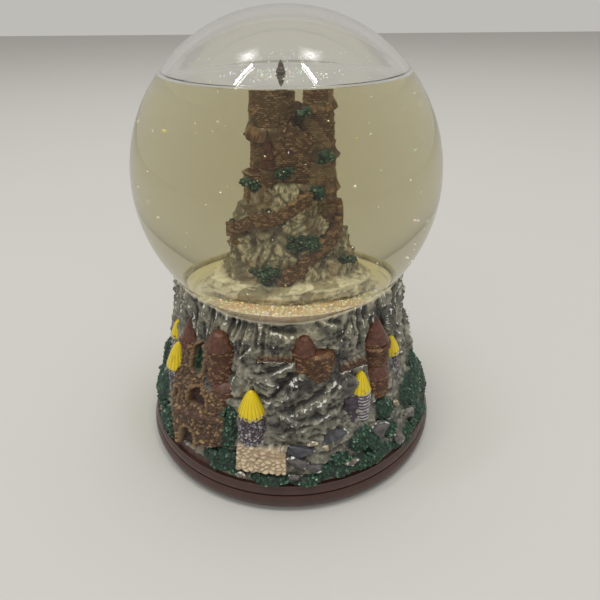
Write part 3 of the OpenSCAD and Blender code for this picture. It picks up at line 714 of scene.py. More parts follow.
# Loose stones: azimuth, distance, height, half sizes outward, sideways and up, shade (0 slate, 1 pale)
STONES = [(3.4, 51.2, 22.9, 2.4, 5.6, 2.2, 0.0), (2.2, 52.4, 18.6, 2.6, 4.4, 3.0, 0.12),
          (9.8, 52.2, 17.4, 2.6, 4.8, 3.4, 0.08), (1.8, 53.2, 13.2, 1.8, 2.8, 2.0, 0.15),
          (17, 49.6, 25.6, 2.4, 5.6, 2.6, 0.02), (22.4, 53.2, 16.2, 1.6, 2.9, 1.9, 0.35),
          (37, 51, 21.8, 2.8, 4.2, 3.3, 0.1), (45.7, 53, 14.6, 2.4, 3.4, 2.8, 0.2),
          (55, 51.2, 20, 2.4, 3.6, 2.4, 0.25), (48.3, 49, 26.2, 1.3, 1.6, 1.5, 0.95),
          (13.4, 51, 22.4, 1.1, 1.3, 1.3, 1.0), (8.6, 50.4, 24.6, 1.1, 2.3, 0.8, 1.0),
          (-17.2, 53.6, 12.6, 1.8, 2.0, 1.9, 0.5), (70.4, 49.6, 25.8, 1.5, 2.0, 3.2, 0.9),
          (-1.2, 51.4, 24.2, 1.2, 2.2, 1.1, 0.9), (66, 50.5, 13.2, 2.6, 3.3, 2.6, 0.3),
          (92, 50.4, 14, 3, 3.6, 3, 0.2), (99, 51, 12.6, 2.4, 3, 2.4, 0.6),
          (128, 51.6, 12.6, 2, 3, 2, 0.4), (148, 50.8, 13, 2.8, 3.8, 3, 0.15),
          (188, 51, 12.8, 2.6, 3.4, 2.6, 0.3), (214, 50.6, 13.6, 3, 4, 3, 0.15),
          (236, 51, 13, 2.6, 3.2, 2.6, 0.5), (252, 50.6, 13.4, 2.8, 3.6, 3, 0.2),
          (272, 50.6, 13.2, 2.8, 3.4, 2.8, 0.3), (286, 50.4, 15, 2.4, 3, 2.6, 0.8)]


def build_stones():
    rng = np.random.default_rng(5)
    batch = Batch()
    for k, (az, r, z, *size, shade) in enumerate(STONES):
        boulder(batch, rng, at_base(az, r, z), np.array(size), mix(SLATE, PALE * 0.7, shade), 300 + k)
    return batch.done("loose_stones")


def tuft_relief(size, r, seed, colors):
    """A lumpy tuft with a leafy surface; size is a leaf's and r the tuft's."""
    dark, mid, light = colors

    def relief(ang, rr, z):
        p = turned(rr, ang, z)
        leaf, ident = leaves(p / size + seed, seed)
        bright = leaf * 0.7 + ident * 0.6
        lump = fbm(p / r * 1.3 + seed, 2, seed) - 0.5
        col = mix(mix(dark, mid, soft(leaf, 0.1, 0.7)), light, soft(bright, 0.8, 1.1) * 0.7)
        return size * 0.6 * leaf + lump * r * 0.7, col, soft(bright, 0.92, 1.15) * 0.6
    return relief


def leaf_clumps(batch, spots, rng, size, colors):
    for x, y, z, r in spots:
        lat = np.linspace(-1, 1, 26)
        prof = np.stack([r * np.sqrt(np.clip(1 - lat ** 2, 0, 1)) + 0.02, z + 0.8 * r * lat], 1)
        batch.turn(prof, 60, tuft_relief(size, r, int(rng.integers(1, 900)), colors), at_xy(x, y))


def build_bushes():
    rng = np.random.default_rng(9)
    batch = Batch()
    spots = []
    for az, cz, wa, wz in CLUMPS:
        for _ in range(max(4, int(wa * wz / 7))):
            a = math.radians(az + wa * rng.uniform(-0.75, 0.75))
            z = max(cz + wz * rng.uniform(-0.75, 0.75), 11.2)
            size = rng.uniform(1.0, 1.9)
            r = min(float(np.interp(z, ROCK_Z, ROCK_R)) + 0.7 + rng.uniform(0, 0.8), 54.2 - size)
            spots.append((r * math.sin(a), -r * math.cos(a), z, size))
    leaf_clumps(batch, spots, rng, 0.95, (GREEN_DARK, GREEN, GREEN_LIGHT))
    return batch.done("bushes")


# ---------------------------------------------------------------- figurine

FIG_ROCK = srgb(236, 230, 214)
FIG_ROCK_DARK = srgb(138, 129, 112)
SLATE_SPIRE_Z = 124     # eaves of the spire that stands out of the water
# Spires and towers: x, y, foot, eaves, body radius at the foot and at the eaves, roof radius, roof height
SPIRES = [(-3.4, 1.0, 82, 121.5, 5.9, 4.8, 5.0, 4.2), (7.8, -0.6, 82, 121.5, 3.7, 3.3, 3.6, 4.4),
          (-1.5, 2.6, 118, SLATE_SPIRE_Z, 2.1, 2.1, 2.45, 7.6), (-4.6, -5.4, 90, 100.4, 1.8, 1.6, 2.0, 9.2),
          (-7.4, -2.6, 82, 98.5, 3.4, 3.2, 3.6, 0.7), (7.8, -2.2, 80, 102.0, 4.4, 4.0, 4.3, 0.8),
          (2.6, 4.6, 86, 111, 3.6, 3.4, 3.8, 2.5), (-11.6, -4.8, 77, 84.2, 2.2, 3.1, 3.3, 0.6),
          (-5, 6.2, 84, 112, 4, 3.6, 4, 6), (6, 6, 84, 108, 4, 3.8, 4.2, 5)]
# String courses: x, y, height, radius
COURSES = [(7.8, -0.6, 113.6, 4.0), (7.8, -2.0, 102.6, 4.9), (7.8, -2.4, 94.4, 5.1),
           (-4.0, 0.6, 106.4, 6.2)]
# Walls that wind round the rock: azimuth, radius and top, each at both ends; depth, thickness, seed
WINDING_WALLS = [(30, -88, 12.0, 14.6, 95.5, 85, 3.4, 1.5, 602),
                 (88, -8, 12.6, 16.4, 91, 76.0, 4.2, 1.4, 603)]
# Shrubs: x, y, z, spread, number of tufts
SHRUBS = [(-8.2, -6.2, 96.2, 2.4, 9), (-0.6, -7.2, 99.6, 1.8, 7), (7.2, -7.4, 94.6, 2.2, 9),
          (4.6, -6.4, 114, 1.0, 3), (4.4, -13.2, 83.4, 3.2, 16), (-5.6, -16.4, 76.6, 3.6, 18),
          (-2.5, -12, 89, 2.4, 8), (9.6, -6.2, 103.4, 1.6, 5), (-12, 4, 84, 3, 7), (10, 8, 86, 3, 7),
          (0, 13, 80, 4, 9), (15, -8, 77, 1.6, 3)]

def ragged(relief, seed):
    """The same relief with a broken edge, for eaves and string courses."""
    def rough(ang, r, z):
        out, col, dry = relief(ang, r, z)
        p = turned(r, ang, z * 0.5) + [seed, 0, 0]
        stain = soft(fbm(p * 0.4, 2, seed + 1), 0.45, 0.6) * 0.5
        return out + 1.5 * (fbm(p * 0.75, 3, seed) - 0.55), mix(col, BRICK_DARK, stain), dry
    return rough


def slated(relief):
    """The same roof in rings of dark slate."""
    def slate(ang, r, z):
        out, col, dry = relief(ang, r, z)
        ring = np.abs(np.mod(z / 0.85, 1) - 0.5) * 2
        return out + 0.22 * ring, mix(col, mix(srgb(48, 44, 40), srgb(104, 94, 84), ring), 0.85), dry
    return slate


def figurine_rock(ang, r, z):
    """Crags, over a flat disc in worn layers."""
    p = turned(r, ang, z)
    slab, edge, _ = crag(p + 40, 401, (4.4, 4.4, 6.4), 2.6)
    small, small_edge, small_tone = crag(p + 40, 421, (1.8, 1.8, 2.8), 1.2)
    block, block_edge, block_tone = crag(p + 90, 471, (6.4, 6.4, 4.2), 2.4)
    fine = fbm(p * 1.1, 4, 431)
    disc = 1 - soft(z + 0.8 * (fine - 0.5), 72.4, 73.6)
    layer = fbm(p * np.array([0.18, 0.18, 1.6]), 3, 441)
    swell = fbm(p * 0.08, 2, 451) - 0.5
    out = lerp(slab + small + 3.0 * swell, 1.8 * (layer - 0.5) + 0.8 * block + 0.75 * small, disc)
    out = out + 0.9 * (fine - 0.5)
    col = mix(FIG_ROCK_DARK, FIG_ROCK, soft(fine + 0.35 * small_tone, 0.35, 0.8))
    # The crevices between the crags are painted darker: painted shade.
    crevice_shade = soft(0.16 - np.minimum(edge, small_edge * 1.6), 0, 0.12) * 0.75 * (1 - disc)
    col = mix(col, FIG_ROCK_DARK * 0.42, crevice_shade)
    worn = soft(0.55 * layer + 0.35 * fine + 0.3 * (block_tone - 0.5) + 0.12 * small_tone, 0.36, 0.62)
    flat = mix(srgb(176, 169, 150), srgb(253, 250, 240), worn)
    crack = soft(0.10 - np.minimum(block_edge, small_edge * 1.8), 0, 0.1) * soft(fine, 0.3, 0.6)
    col = mix(col, mix(flat, FIG_ROCK_DARK * 0.6, crack * 0.5), disc)
    earth = soft(fbm(p * 0.16, 2, 461), 0.5, 0.62) * (1 - disc) * 0.45
    return out, mix(col, srgb(132, 100, 74), earth), 0.35 * soft(out, 0.2, 1.6)


def add_spires(batch):
    for k, (x, y, z0, z1, r0, r1, rr, h) in enumerate(SPIRES):
        place = at_xy(x, y)
        batch.turn(side_profile(z0, z1 + 0.3, r0, r1, 0.16), 150, tower_relief(r1, 500 + k, "small"), place)
        roof = roof_relief(520 + k, z1)
        if z1 == SLATE_SPIRE_Z:
            roof = slated(roof)
        batch.turn(cone_profile(z1, rr, h, 0.9, 0.2, 0.35), 110, roof, place)
        if h > 1.5:
            band = [[r1, z1 - 1.5], [r1 + 0.3, z1 - 1.1], [r1 + 0.35, z1 - 0.6], [r1, z1 - 0.3]]
            batch.turn(band, 90, ragged(tower_relief(r1, 540 + k, "small"), 540 + k), place)
    for x, y, z, r in COURSES:
        skirt = [[r - 1.1, z - 0.6], [r - 0.15, z - 0.35], [r, z + 0.1], [r - 0.35, z + 0.9],
                 [r - 0.75, z + 1.9], [r - 1.2, z + 3.2]]
        batch.turn(skirt, 110, ragged(tower_relief(r, int(z), "small"), int(z)), at_xy(x, y))


def add_walls(batch):
    """A gable wall between the towers, the stair that falls to the left and the wall down the right."""
    wall_along(batch, [(-5, -4.2), (1, -5.4), (7, -4.4)], [(90, 104), (90, 111), (90, 107)], 2.0, 601)
    t = np.arange(40) / 39
    for a0, a1, r0, r1, top0, top1, deep, thick, seed in WINDING_WALLS:
        a = np.radians(a0 + (a1 - a0) * t)
        r = r0 + (r1 - r0) * t + 0.5 * np.sin(8 * t + seed)
        top = top0 + (top1 - top0) * t + 0.4 * np.sin(13 * t)
        wall_along(batch, from_front(r, a, top)[:, :2], np.stack([top - deep, top], 1), thick, seed)


def build_figurine():
    batch = Batch()
    lo = PLUG_Z
    prof = [[19.0, lo], [19.2, lo + 2.6], [19.0, lo + 3.9], [19.8, lo + 4.3]]
    steps = [(20.3, lo + 4.9), (20.5, lo + 6.2), (20.0, lo + 7.6), (18.8, lo + 8.7), (16.8, lo + 9.2),
             (15.6, 75), (14.8, 78), (13.4, 82), (12.0, 87), (10.2, 92), (8.4, 96)]
    for (r0, z0), (r1, z1) in zip(steps, steps[1:]):
        n = max(2, int(math.hypot(r1 - r0, z1 - z0) / 0.3))
        prof += [[r0 + (r1 - r0) * i / n, z0 + (z1 - z0) * i / n] for i in range(n)]
    prof += [[8.2, 96.3], [5, 96.8], [1, 97]]
    batch.turn(prof, 420, figurine_rock, at_xy(0, 0))
    add_spires(batch)
    add_walls(batch)
    rng = np.random.default_rng(21)
    spots = []
    for x, y, z, spread, count in SHRUBS:
        for _ in range(count):
            d = rng.normal(size=3) * spread * 0.5
            spots.append((x + d[0], y + d[1] * 0.5, z + d[2] * 0.6, rng.uniform(0.8, 1.5)))
    leaf_clumps(batch, spots, rng, 0.8, (srgb(14, 40, 30), srgb(40, 78, 58), srgb(110, 150, 120)))
    return batch.done("castle_scene")


def wall_along(batch, path, span, thick, seed):
    """An upright brick wall along a path; span is its lowest and highest z at each point."""
    path, span = np.array(path, float), np.array(span, float)
    step = np.concatenate([[0], np.cumsum(np.linalg.norm(np.diff(path, axis=0), axis=1))])
    n = max(8, int(step[-1] / 0.22))
    s = np.linspace(0, step[-1], n)
    x, y, z0, z1 = (np.interp(s, step, q) for q in (*path.T, *span.T))
    z1 = z1 + 0.22 * np.sign(np.sin(s * 3.3))
    tan = np.gradient(np.stack([x, y], 1), axis=0)
    tan /= np.linalg.norm(tan, axis=1)[:, None]
    rows = int(max(z1 - z0) / 0.14)
    m = 2 * rows                # each section runs up the one side and down the other
    t = np.arange(rows) / (rows - 1)
    side = np.tile(np.repeat([1, -1], rows), n)
    x, y, z0, rise, along, nx, ny = (np.repeat(q, m) for q in (x, y, z0, z1 - z0, s, tan[:, 1], -tan[:, 0]))
    z = z0 + rise * np.tile(np.concatenate([t, t[::-1]]), n)
    out, paint, dry = brick_paint(along, z, np.stack([x, y, z], 1), (1.05, 0.52), seed,
                                  (BRICK_DARK, srgb(140, 104, 74), srgb(184, 152, 116)), 0.13)
    off = side * (thick / 2 + 0.6 * out)
    faces = [[a, b, c, d] for a, d, c, b in grid_faces(n, m)]       # wound to face outward
    faces += [list(range(m)), list(range((n - 1) * m, n * m))[::-1]]
    batch.add(np.stack([x + nx * off, y + ny * off, z], 1), faces, paint, dry)


# ---------------------------------------------------------------- globe

def lathe(prof, cols=192):
    """A profile from axis to axis, turned; weld() closes it there."""
    ang, r, z = around(np.asarray(prof, float), cols)
    return turned(r, ang, z), grid_faces(len(prof), cols)


def ball_arc(radius, z0, z1, n):
    """Points on the ball between two heights, evenly spaced in angle."""
    t0, t1 = (math.asin(max(-1, min(1, (q - GLOBE_Z) / radius))) for q in (z0, z1))
    t = np.linspace(t0, t1, n)
    return np.stack([np.maximum(radius * np.cos(t), 0.0), GLOBE_Z + radius * np.sin(t)], 1)


def ball_r(radius, z):
    """How far the ball is from the axis at height z."""
    return math.sqrt(radius ** 2 - (z - GLOBE_Z) ** 2)


def weld(ob):
    bm = bmesh.new()
    bm.from_mesh(ob.data)
    bmesh.ops.remove_doubles(bm, verts=bm.verts, dist=1e-6)
    bmesh.ops.dissolve_degenerate(bm, edges=bm.edges, dist=1e-7)
    bm.to_mesh(ob.data)
    bm.free()


def build_ball():
    """The blown ball. Its inner face stops at the water, whose own side is the inner face below that."""
    outside = ball_arc(GLOBE_R, GLOBE_Z - math.sqrt(GLOBE_R ** 2 - NECK_R ** 2), GLOBE_Z + GLOBE_R, 120)
    v, f = lathe(np.vstack([[[NECK_R, 51.6]], outside]))
    v2, f2 = lathe(ball_arc(GLASS_IN, WATER_Z, GLOBE_Z + GLASS_IN, 50)[::-1])
    ball = make("glass_ball", np.vstack([v, v2]), f + [[a + len(v) for a in q] for q in f2])
    weld(ball)
    return ball


def build_water():
    """The water, with its edge drawn up the glass; its top has the second material."""
    rise, floor_z, floor_r = 0.8, 61.2, 28.8
    edge_r = ball_r(GLASS_IN, WATER_Z + rise)
    lift = rise * np.exp(-np.linspace(0, 5, 26))
    rim = [[edge_r - 3.4 * k / 25, WATER_Z + h] for k, h in enumerate(lift)]
    low = [[0.0, floor_z], [20, floor_z], [28.7, floor_z]]
    side = ball_arc(GLASS_IN, GLOBE_Z - math.sqrt(GLASS_IN ** 2 - floor_r ** 2), WATER_Z + rise, 110)
    flat = [[r, WATER_Z] for r in np.linspace(edge_r - 4, 0, 30)]
    cols = 192
    v, f = lathe(np.vstack([low, side, rim[1:], flat]), cols)
    water = make("water", v, f)
    tops = (len(low) + len(side) - 1) * cols
    water.data.polygons.foreach_set("material_index", [int(i >= tops) for i in range(len(f))])
    weld(water)
    return water


def heap_relief(ang, r, z):
    near, second, ident, _ = cells(turned(r, ang, z) / 0.75, 701)
    lump = fbm(turned(r, ang, z) * 0.3, 3, 711)
    col = mix(GOLD * 0.75, GOLD, soft(second - near, 0.02, 0.25))
    col = mix(col, srgb(246, 226, 190), soft(ident, 0.5, 0.9) * 0.7)
    col = mix(col, srgb(238, 200, 164), soft(lump, 0.42, 0.6) * 0.5)
    col = mix(srgb(236, 232, 218), col, soft(-np.sin(ang), 0.35, 0.8))
    return -0.06 * soft(ident, 0, 1) * (r > 30), col, np.zeros(len(z))


# The heap of settled flakes: its top from the figurine's foot out to the glass
HEAP_R, HEAP_Z = (19.0, 21.0, 25.0, 29.0, 33.0, 36.4), (68.0, 67.7, 66.9, 66.2, 65.8, 66.0)


def build_heap():
    bed = Batch()
    wall = ball_arc(GLASS_IN - 0.10, 58.9, 66.2, 30)
    ring = np.vstack([[[19.0, 63.4], [28.9, 63.4], [28.9, 58.8]], wall, np.stack([HEAP_R, HEAP_Z], 1)[::-1]])
    bed.turn(ring, 360, heap_relief, at_xy(0, 0))
    return bed.done("glitter_heap")


class Flakes:
    """Six-sided flakes in one mesh, each in one of a few tints."""

    TINTS = [srgb(250, 250, 245), srgb(220, 236, 255), srgb(250, 240, 170), srgb(200, 250, 225),
             srgb(245, 215, 250)]

    def __init__(self, rng):
        self.rng, self.v, self.f, self.c = rng, [], [], []

    def add(self, r, a, z, normal, smallest, largest):
        size, tint = self.rng.uniform(smallest, largest), self.TINTS[self.rng.integers(5)]
        n = Vector(normal).normalized()
        side = n.orthogonal().normalized()
        other = n.cross(side)
        base = len(self.v)
        for lift in (0.03, -0.03):
            for t in np.arange(6) * math.pi / 3:
                q = (Vector((r * math.cos(a), r * math.sin(a), z)) + side * (size * math.cos(t))
                     + other * (size * math.sin(t)) + n * lift)
                self.v.append(q[:])
                self.c.append(tint)
        self.f += [[base + k for k in range(6)], [base + 11 - k for k in range(6)]]
        self.f += [[base + k, base + 6 + k, base + 6 + (k + 1) % 6, base + (k + 1) % 6] for k in range(6)]


def build_flakes():
    """Flakes on the heap, against the glass, adrift in the water, afloat on it and dried above it."""
    rng = np.random.default_rng(33)
    lot = Flakes(rng)
    for _ in range(650):        # on the heap, most of them toward the front
        r, a = math.sqrt(rng.uniform(20.5 ** 2, 36.4 ** 2)), rng.normal(FRONT, 0.75)
        top = float(np.interp(r, HEAP_R, HEAP_Z))
        z = top + rng.uniform(0, 0.3)
        lot.add(r, a, z, rng.normal(size=3) + [0, 0, 1.2], 0.16, 0.36)
    for _ in range(420):        # seen through the glass
        z, a = rng.uniform(60.0, 66.2), rng.normal(FRONT, 0.6)
        r = ball_r(GLASS_IN - 0.12, z)
        out = np.array([r * math.cos(a), r * math.sin(a), z - GLOBE_Z]) / GLASS_IN
        lot.add(r * 0.999, a, z + 0.02, out + rng.normal(size=3) * 0.12, 0.12, 0.26)
    settled = len(lot.f)
    for _ in range(130):        # adrift
        d = rng.normal(size=3)
        d = d / np.linalg.norm(d) * 45 * rng.uniform(0.45, 1) ** 0.33
        r, z = math.hypot(d[0], d[1]), d[2] + GLOBE_Z
        if 66 < z < 124 and r >= 20:
            lot.add(r, math.atan2(d[1], d[0]), z, rng.normal(size=3), 0.12, 0.36)
    for _ in range(150):        # afloat round the spire, and dried on the glass just above the water
        r, a, z = 20 * math.sqrt(rng.uniform(0.01, 1)), rng.uniform(0, 2 * math.pi), WATER_Z + 0.08
        if rng.uniform() < 0.35:
            z, a = WATER_Z + rng.uniform(0.9, 5.5), rng.normal(math.pi / 2, 0.5)
            r = ball_r(GLASS_IN - 0.15, z)
        tilt = rng.normal(size=3) * 0.45 + [0, 0, 1] if r <= 20 else np.array([math.cos(a), math.sin(a), 0.6])
        lot.add(r, a, z, tilt, 0.12, 0.26)
    flakes = make("flakes", lot.v, lot.f, np.array(lot.c))
    flakes.data.polygons.foreach_set("material_index", [int(k >= settled) for k in range(len(lot.f))])
    return flakes


# ---------------------------------------------------------------- materials

def nodes_of(name):
    m = bpy.data.materials.new(name)
    m.use_nodes = True
    nt = m.node_tree
    nt.nodes.clear()
    out = nt.nodes.new("ShaderNodeOutputMaterial")
    bsdf = nt.nodes.new("ShaderNodeBsdfPrincipled")
    nt.links.new(bsdf.outputs[0], out.inputs[0])
    return m, nt, bsdf, out


def node(nt, kind, **sets):
    """A new node with its properties and inputs set; an input's spaces are written as _."""
    n = nt.nodes.new(kind)
    for k, v in sets.items():
        if hasattr(n, k):
            setattr(n, k, v)
        else:
            n.inputs[k.replace("_", " ")].default_value = v
    return n


def noise_node(nt, scale, detail=4.0, rough=0.55):
    tex = node(nt, "ShaderNodeTexCoord")
    n = node(nt, "ShaderNodeTexNoise", Scale=scale, Detail=detail, Roughness=rough)
    nt.links.new(tex.outputs["Object"], n.inputs["Vector"])
    return n


def ramp(nt, source, lo, hi, a=0.0, b=1.0):
    """A value from lo to hi brought to a to b."""
    r = node(nt, "ShaderNodeMapRange", From_Min=lo, From_Max=hi, To_Min=a, To_Max=b)
    nt.links.new(source, r.inputs["Value"])
    return r.outputs["Result"]


def mixed(nt, a, b, factor, mode="MIX"):
    m = node(nt, "ShaderNodeMix", data_type="RGBA", blend_type=mode)
    for i, s in ((6, a), (7, b)):
        if isinstance(s, bpy.types.NodeSocket):
            nt.links.new(s, m.inputs[i])
        else:
            m.inputs[i].default_value = (*s, 1) if len(s) == 3 else s
    if isinstance(factor, bpy.types.NodeSocket):
        nt.links.new(factor, m.inputs[0])
    else:
        m.inputs[0].default_value = factor
    return m.outputs[2]


def bump(nt, bsdf, height, strength, distance):
    b = node(nt, "ShaderNodeBump", Strength=strength, Distance=distance)
    nt.links.new(height, b.inputs["Height"])
    nt.links.new(b.outputs[0], bsdf.inputs["Normal"])


def painted(name, rough=(0.32, 0.58), fleck=WHITE, grain=900.0, coat=0.15, strength=0.5):
    """Hand-painted resin: brushed-on colours, uneven paint, pale dry brushing on the crests, thin varnish."""
    m, nt, bsdf, _ = nodes_of(name)
    att = node(nt, "ShaderNodeAttribute", attribute_name="paint")
    blot = noise_node(nt, 260.0, 5.0)
    fine = noise_node(nt, grain, 5.0, 0.6)
    shade = mixed(nt, att.outputs["Color"], (0.5, 0.5, 0.5), 0.0)
    dirt = ramp(nt, blot.outputs["Fac"], 0.42, 0.3, 0.0, 0.45)
    shade = mixed(nt, shade, (0.16, 0.15, 0.13), dirt, "MULTIPLY")
    brush = node(nt, "ShaderNodeMath", operation="MULTIPLY_ADD")
    nt.links.new(fine.outputs["Fac"], brush.inputs[0])
    brush.inputs[1].default_value = 0.9
    nt.links.new(att.outputs["Alpha"], brush.inputs[2])
    base = mixed(nt, shade, tuple(fleck), ramp(nt, brush.outputs[0], 0.98, 1.16, 0.0, 0.9))
    nt.links.new(base, bsdf.inputs["Base Color"])
    nt.links.new(ramp(nt, blot.outputs["Fac"], 0.3, 0.7, rough[1], rough[0]), bsdf.inputs["Roughness"])
    bsdf.inputs["Coat Weight"].default_value = coat
    bsdf.inputs["Coat Roughness"].default_value = 0.25
    bump(nt, bsdf, fine.outputs["Fac"], strength, 0.0004)
    return m


def plain(name, color, rough, metal=0.0, grain=1200.0, strength=0.25, wear=None, coat=0.0, stretch=None):
    """Metal, rubber and plastic: colour variation, uneven gloss and fine surface marks."""
    m, nt, bsdf, _ = nodes_of(name)
    blot = noise_node(nt, 180.0, 5.0)
    fine = noise_node(nt, grain, 6.0, 0.65)
    if stretch:
        mp = node(nt, "ShaderNodeMapping")
        mp.inputs["Scale"].default_value = stretch
        tex = node(nt, "ShaderNodeTexCoord")
        nt.links.new(tex.outputs["Object"], mp.inputs[0])
        nt.links.new(mp.outputs[0], fine.inputs["Vector"])
    dark = tuple(c * 0.6 for c in color)
    base = mixed(nt, color, dark, ramp(nt, blot.outputs["Fac"], 0.35, 0.7, 0.0, 0.7))
    if wear is not None:
        base = mixed(nt, base, wear, ramp(nt, fine.outputs["Fac"], 0.62, 0.76, 0.0, 0.5))
    nt.links.new(base, bsdf.inputs["Base Color"])
    gloss = ramp(nt, fine.outputs["Fac"], 0.3, 0.7, rough * 0.75, min(1.0, rough * 1.3))
    nt.links.new(gloss, bsdf.inputs["Roughness"])
    bsdf.inputs["Metallic"].default_value = metal
    bsdf.inputs["Coat Weight"].default_value = coat
    bump(nt, bsdf, fine.outputs["Fac"], strength, 0.0002)
    return m


def clear(name, ior, tint, absorb=None, rough=0.0):
    """Clear glass or water that lets lamps through to what is inside."""
    m, nt, bsdf, out = nodes_of(name)
    bsdf.inputs["Base Color"].default_value = (*tint, 1)
    bsdf.inputs["Roughness"].default_value = rough
    bsdf.inputs["IOR"].default_value = ior
    bsdf.inputs["Transmission Weight"].default_value = 1.0
    path = node(nt, "ShaderNodeLightPath")
    through = node(nt, "ShaderNodeBsdfTransparent")
    through.inputs[0].default_value = (0.97, 0.97, 0.95, 1)
    either = node(nt, "ShaderNodeMath", operation="MAXIMUM")
    nt.links.new(path.outputs["Is Shadow Ray"], either.inputs[0])
    nt.links.new(path.outputs["Is Diffuse Ray"], either.inputs[1])
    blend = node(nt, "ShaderNodeMixShader")
    nt.links.new(either.outputs[0], blend.inputs[0])
    nt.links.new(bsdf.outputs[0], blend.inputs[1])
    nt.links.new(through.outputs[0], blend.inputs[2])
    nt.links.new(blend.outputs[0], out.inputs[0])
    if absorb:
        vol = node(nt, "ShaderNodeVolumeAbsorption")
        vol.inputs["Color"].default_value = (*absorb[0], 1)
        vol.inputs["Density"].default_value = absorb[1]
        nt.links.new(vol.outputs[0], out.inputs["Volume"])
    return m


def flake_material(name, glow):
    """Foil flakes with a painted glint: they glow by themselves, since the rest of the room is not there to
    be mirrored.
    """
    m, nt, bsdf, _ = nodes_of(name)
    att = node(nt, "ShaderNodeAttribute", attribute_name="paint")
    fine = noise_node(nt, 700.0)
    base = mixed(nt, att.outputs["Color"], (0.9, 0.9, 0.85), ramp(nt, fine.outputs["Fac"], 0.4, 0.6))
    nt.links.new(base, bsdf.inputs["Base Color"])
    nt.links.new(ramp(nt, fine.outputs["Fac"], 0.3, 0.7, 0.08, 0.25), bsdf.inputs["Roughness"])
    bsdf.inputs["Metallic"].default_value = 0.35
    # Painted glint: each flake glows in its own tint.
    nt.links.new(att.outputs["Color"], bsdf.inputs["Emission Color"])
    bsdf.inputs["Emission Strength"].default_value = glow
    bump(nt, bsdf, fine.outputs["Fac"], 0.15, 0.0001)
    return m


def matte_floor():
    m, nt, bsdf, _ = nodes_of("pale_table")
    cloud = noise_node(nt, 3.0, 3.0)
    base = mixed(nt, (0.51, 0.5, 0.475), (0.53, 0.52, 0.495), cloud.outputs["Fac"])
    nt.links.new(base, bsdf.inputs["Base Color"])
    bsdf.inputs["Roughness"].default_value = 0.6
    return m


def set_material(ob, *mats):
    ob.data.materials.clear()
    for m in mats:
        ob.data.materials.append(m)


# ---------------------------------------------------------------- assemble

casting = build_casting()
towers, roofs, pleats = build_towers()
stones = build_stones()
bushes = build_bushes()
figurine = build_figurine()
ball = build_ball()
water = build_water()
heap = build_heap()
flakes = build_flakes()

set_material(casting, painted("painted_resin"))
set_material(towers, painted("painted_brick", (0.4, 0.65), srgb(206, 186, 150), 1100.0, 0.08))
set_material(roofs, painted("painted_roof", (0.3, 0.5), srgb(176, 130, 100), 1000.0, 0.2))
set_material(pleats, painted("yellow_paint", (0.28, 0.42), srgb(250, 236, 120), 1300.0, 0.3, 0.25))
set_material(stones, painted("painted_slate", (0.22, 0.45), WHITE, 800.0, 0.35))
set_material(bushes, painted("painted_leaves", (0.3, 0.5), srgb(190, 214, 190), 1100.0, 0.25))
set_material(figurine, painted("figurine_paint", (0.5, 0.7), srgb(206, 198, 172), 1300.0, 0.0, 0.4))
GLASS_IOR, WATER_IOR = 1.47, 1.333
LIQUID = (0.63, 0.57, 0.25), 16.0       # its tint, and how strongly it takes light away
set_material(ball, clear("clear_glass", GLASS_IOR, (0.958, 0.954, 0.925)))
set_material(water, clear("water_at_glass", WATER_IOR / GLASS_IOR, (1, 1, 1), LIQUID),
             clear("water_surface", WATER_IOR, (1, 1, 1), LIQUID, 0.03))
set_material(heap, painted("glitter_bed", (0.25, 0.5), srgb(250, 244, 220), 1500.0, 0.3))
set_material(flakes, flake_material("glowing_iridescent_flake", 0.45), flake_material("glowing_bright_flake", 2.6))

for ob, nodes_, slot_ in (
        (casting, ["rock_base"], "rock_resin"), (towers, ["rock_base"], "rock_resin"),
        (roofs, ["rock_base"], "rock_resin"), (pleats, ["rock_base"], "rock_resin"),
        (stones, ["rock_base"], "rock_resin"), (bushes, ["rock_base"], "rock_resin"),
        (figurine, ["castle_figurine"], "figurine_resin"), (ball, ["glass_globe"], "glass"),
        (water, ["liquid"], "water"), (heap, ["glitter_flakes"], "glitter"),
        (flakes, ["glitter_flakes"], "glitter")):
    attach(ob, ROOT)
    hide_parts(*nodes_)

slot_mats = {
    "rubber": plain("black_rubber", (0.018, 0.018, 0.018), 0.7, grain=1500.0, strength=0.4),
    "silicone": plain("white_silicone", (0.7, 0.7, 0.66), 0.45),
    "adhesive": plain("yellowed_adhesive", (0.52, 0.4, 0.2), 0.25, coat=0.3),
    "plinth_resin": plain("brown_satin_paint", tuple(srgb(70, 42, 34)), 0.42, grain=700.0, strength=0.3,
                          wear=tuple(srgb(104, 70, 58)), coat=0.25),
    "black_plastic": plain("black_plastic", (0.02, 0.02, 0.021), 0.5, grain=1600.0, strength=0.35),
    "steel": plain("plated_steel", (0.55, 0.56, 0.58), 0.28, 1.0, 900.0, 0.2, stretch=(1, 1, 14)),
    "spring_steel": plain("blued_steel", (0.22, 0.26, 0.34), 0.3, 1.0, 900.0, 0.2, stretch=(1, 12, 1)),
    "brass": plain("brass", (0.72, 0.5, 0.2), 0.3, 1.0, 1000.0, 0.2, wear=(0.5, 0.36, 0.16)),
    "zinc": plain("gilt_zinc", (0.5, 0.44, 0.28), 0.45, 1.0, 800.0, 0.35),
    "nylon": plain("ivory_nylon", (0.72, 0.68, 0.56), 0.5, grain=1400.0, strength=0.2),
}
slots = {s["node"]: s["material_slot"] for s in frame["record"]["subparts"]}
for name, ob in frame["nodes"].items():
    if slots.get(name) in slot_mats:
        set_material(ob, slot_mats[slots[name]])

# ---------------------------------------------------------------- stage, light and camera

FLOOR = 3000            # half its width
corners = [[x * FLOOR, y * FLOOR, -0.02] for x, y in ((-1, -1), (1, -1), (1, 1), (-1, 1))]
floor = make("floor", corners, [[0, 1, 2, 3]])
set_material(floor, matte_floor())


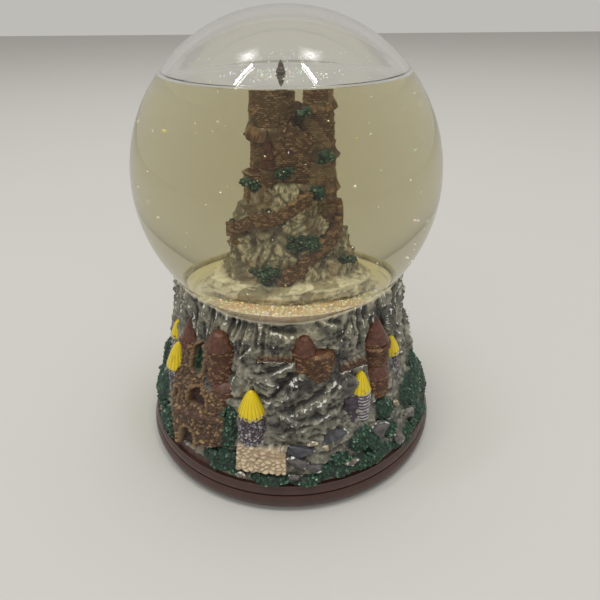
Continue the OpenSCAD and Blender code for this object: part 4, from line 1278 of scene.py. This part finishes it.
def area(name, at, toward, size, size_y, watts, along=(1, 0, 0)):
    """An area lamp in metres and watts, with its longer side along a direction."""
    data = bpy.data.lights.new(name, "AREA")
    data.shape = "RECTANGLE"
    data.size, data.size_y, data.energy = size, size_y, watts
    ob = bpy.data.objects.new(name, data)
    ob.location = at
    z = -(Vector(toward) - Vector(at)).normalized()
    x = Vector(along)
    x = (x - z * x.dot(z)).normalized()
    y = z.cross(x)
    ob.rotation_euler = Matrix((x, y, z)).transposed().to_euler()
    bpy.context.scene.collection.objects.link(ob)
    return ob


area("tube_left", (-0.568, -0.054, 1.5), (0, 0, 0.1), 0.4, 0.042, 4.2, along=(0.31, 0.245, 0))
area("tube_right", (0.322, -0.122, 1.5), (0, 0, 0.1), 0.37, 0.042, 3.9, along=(0.22, -0.29, 0))
for at_x, at_y in ((-0.46, 0.30), (0.30, 0.26)):        # two lamps that fade out toward their edges
    for k in range(5):
        at = at_x, at_y, 1.5 + 0.002 * k
        area("glow", at, (0, 0, 0.1), 0.06 + 0.06 * k, 0.04 + 0.05 * k, 0.05 + 0.03 * k)
for soft_light in (area("softbox_front", (-0.7, -1.5, 1.5), (0, 0, 0.07), 1.4, 1.0, 7),
                   area("softbox_top", (0.2, 0.3, 1.9), (0, 0, 0.05), 1.6, 1.6, 12)):
    soft_light.visible_glossy = False
    soft_light.visible_transmission = False

world = bpy.data.worlds.new("room")
bpy.context.scene.world = world
world.use_nodes = True
background = world.node_tree.nodes["Background"]
background.inputs["Color"].default_value = (0.95, 0.93, 0.88, 1)
background.inputs["Strength"].default_value = 0.54
bpy.context.scene.view_settings.view_transform = "Standard"

camera = bpy.data.cameras.new("camera")
camera.sensor_width = 36
camera.lens = 30.618
camera.clip_start = 0.005
cam = bpy.data.objects.new("camera", camera)
cam.location = (0.00384, -0.1677, 0.1464)
PITCH, ROLL = 0.527, 0.008      # radians: how far it looks down, and how far it is turned about its own axis
fwd = Vector((0, math.cos(PITCH), -math.sin(PITCH)))
right = Vector((1, 0, 0))
up = right.cross(fwd)
x = right * math.cos(ROLL) - up * math.sin(ROLL)
y = up * math.cos(ROLL) + right * math.sin(ROLL)
cam.rotation_euler = Matrix((x, y, -fwd)).transposed().to_euler()
bpy.context.scene.collection.objects.link(cam)
bpy.context.scene.camera = cam
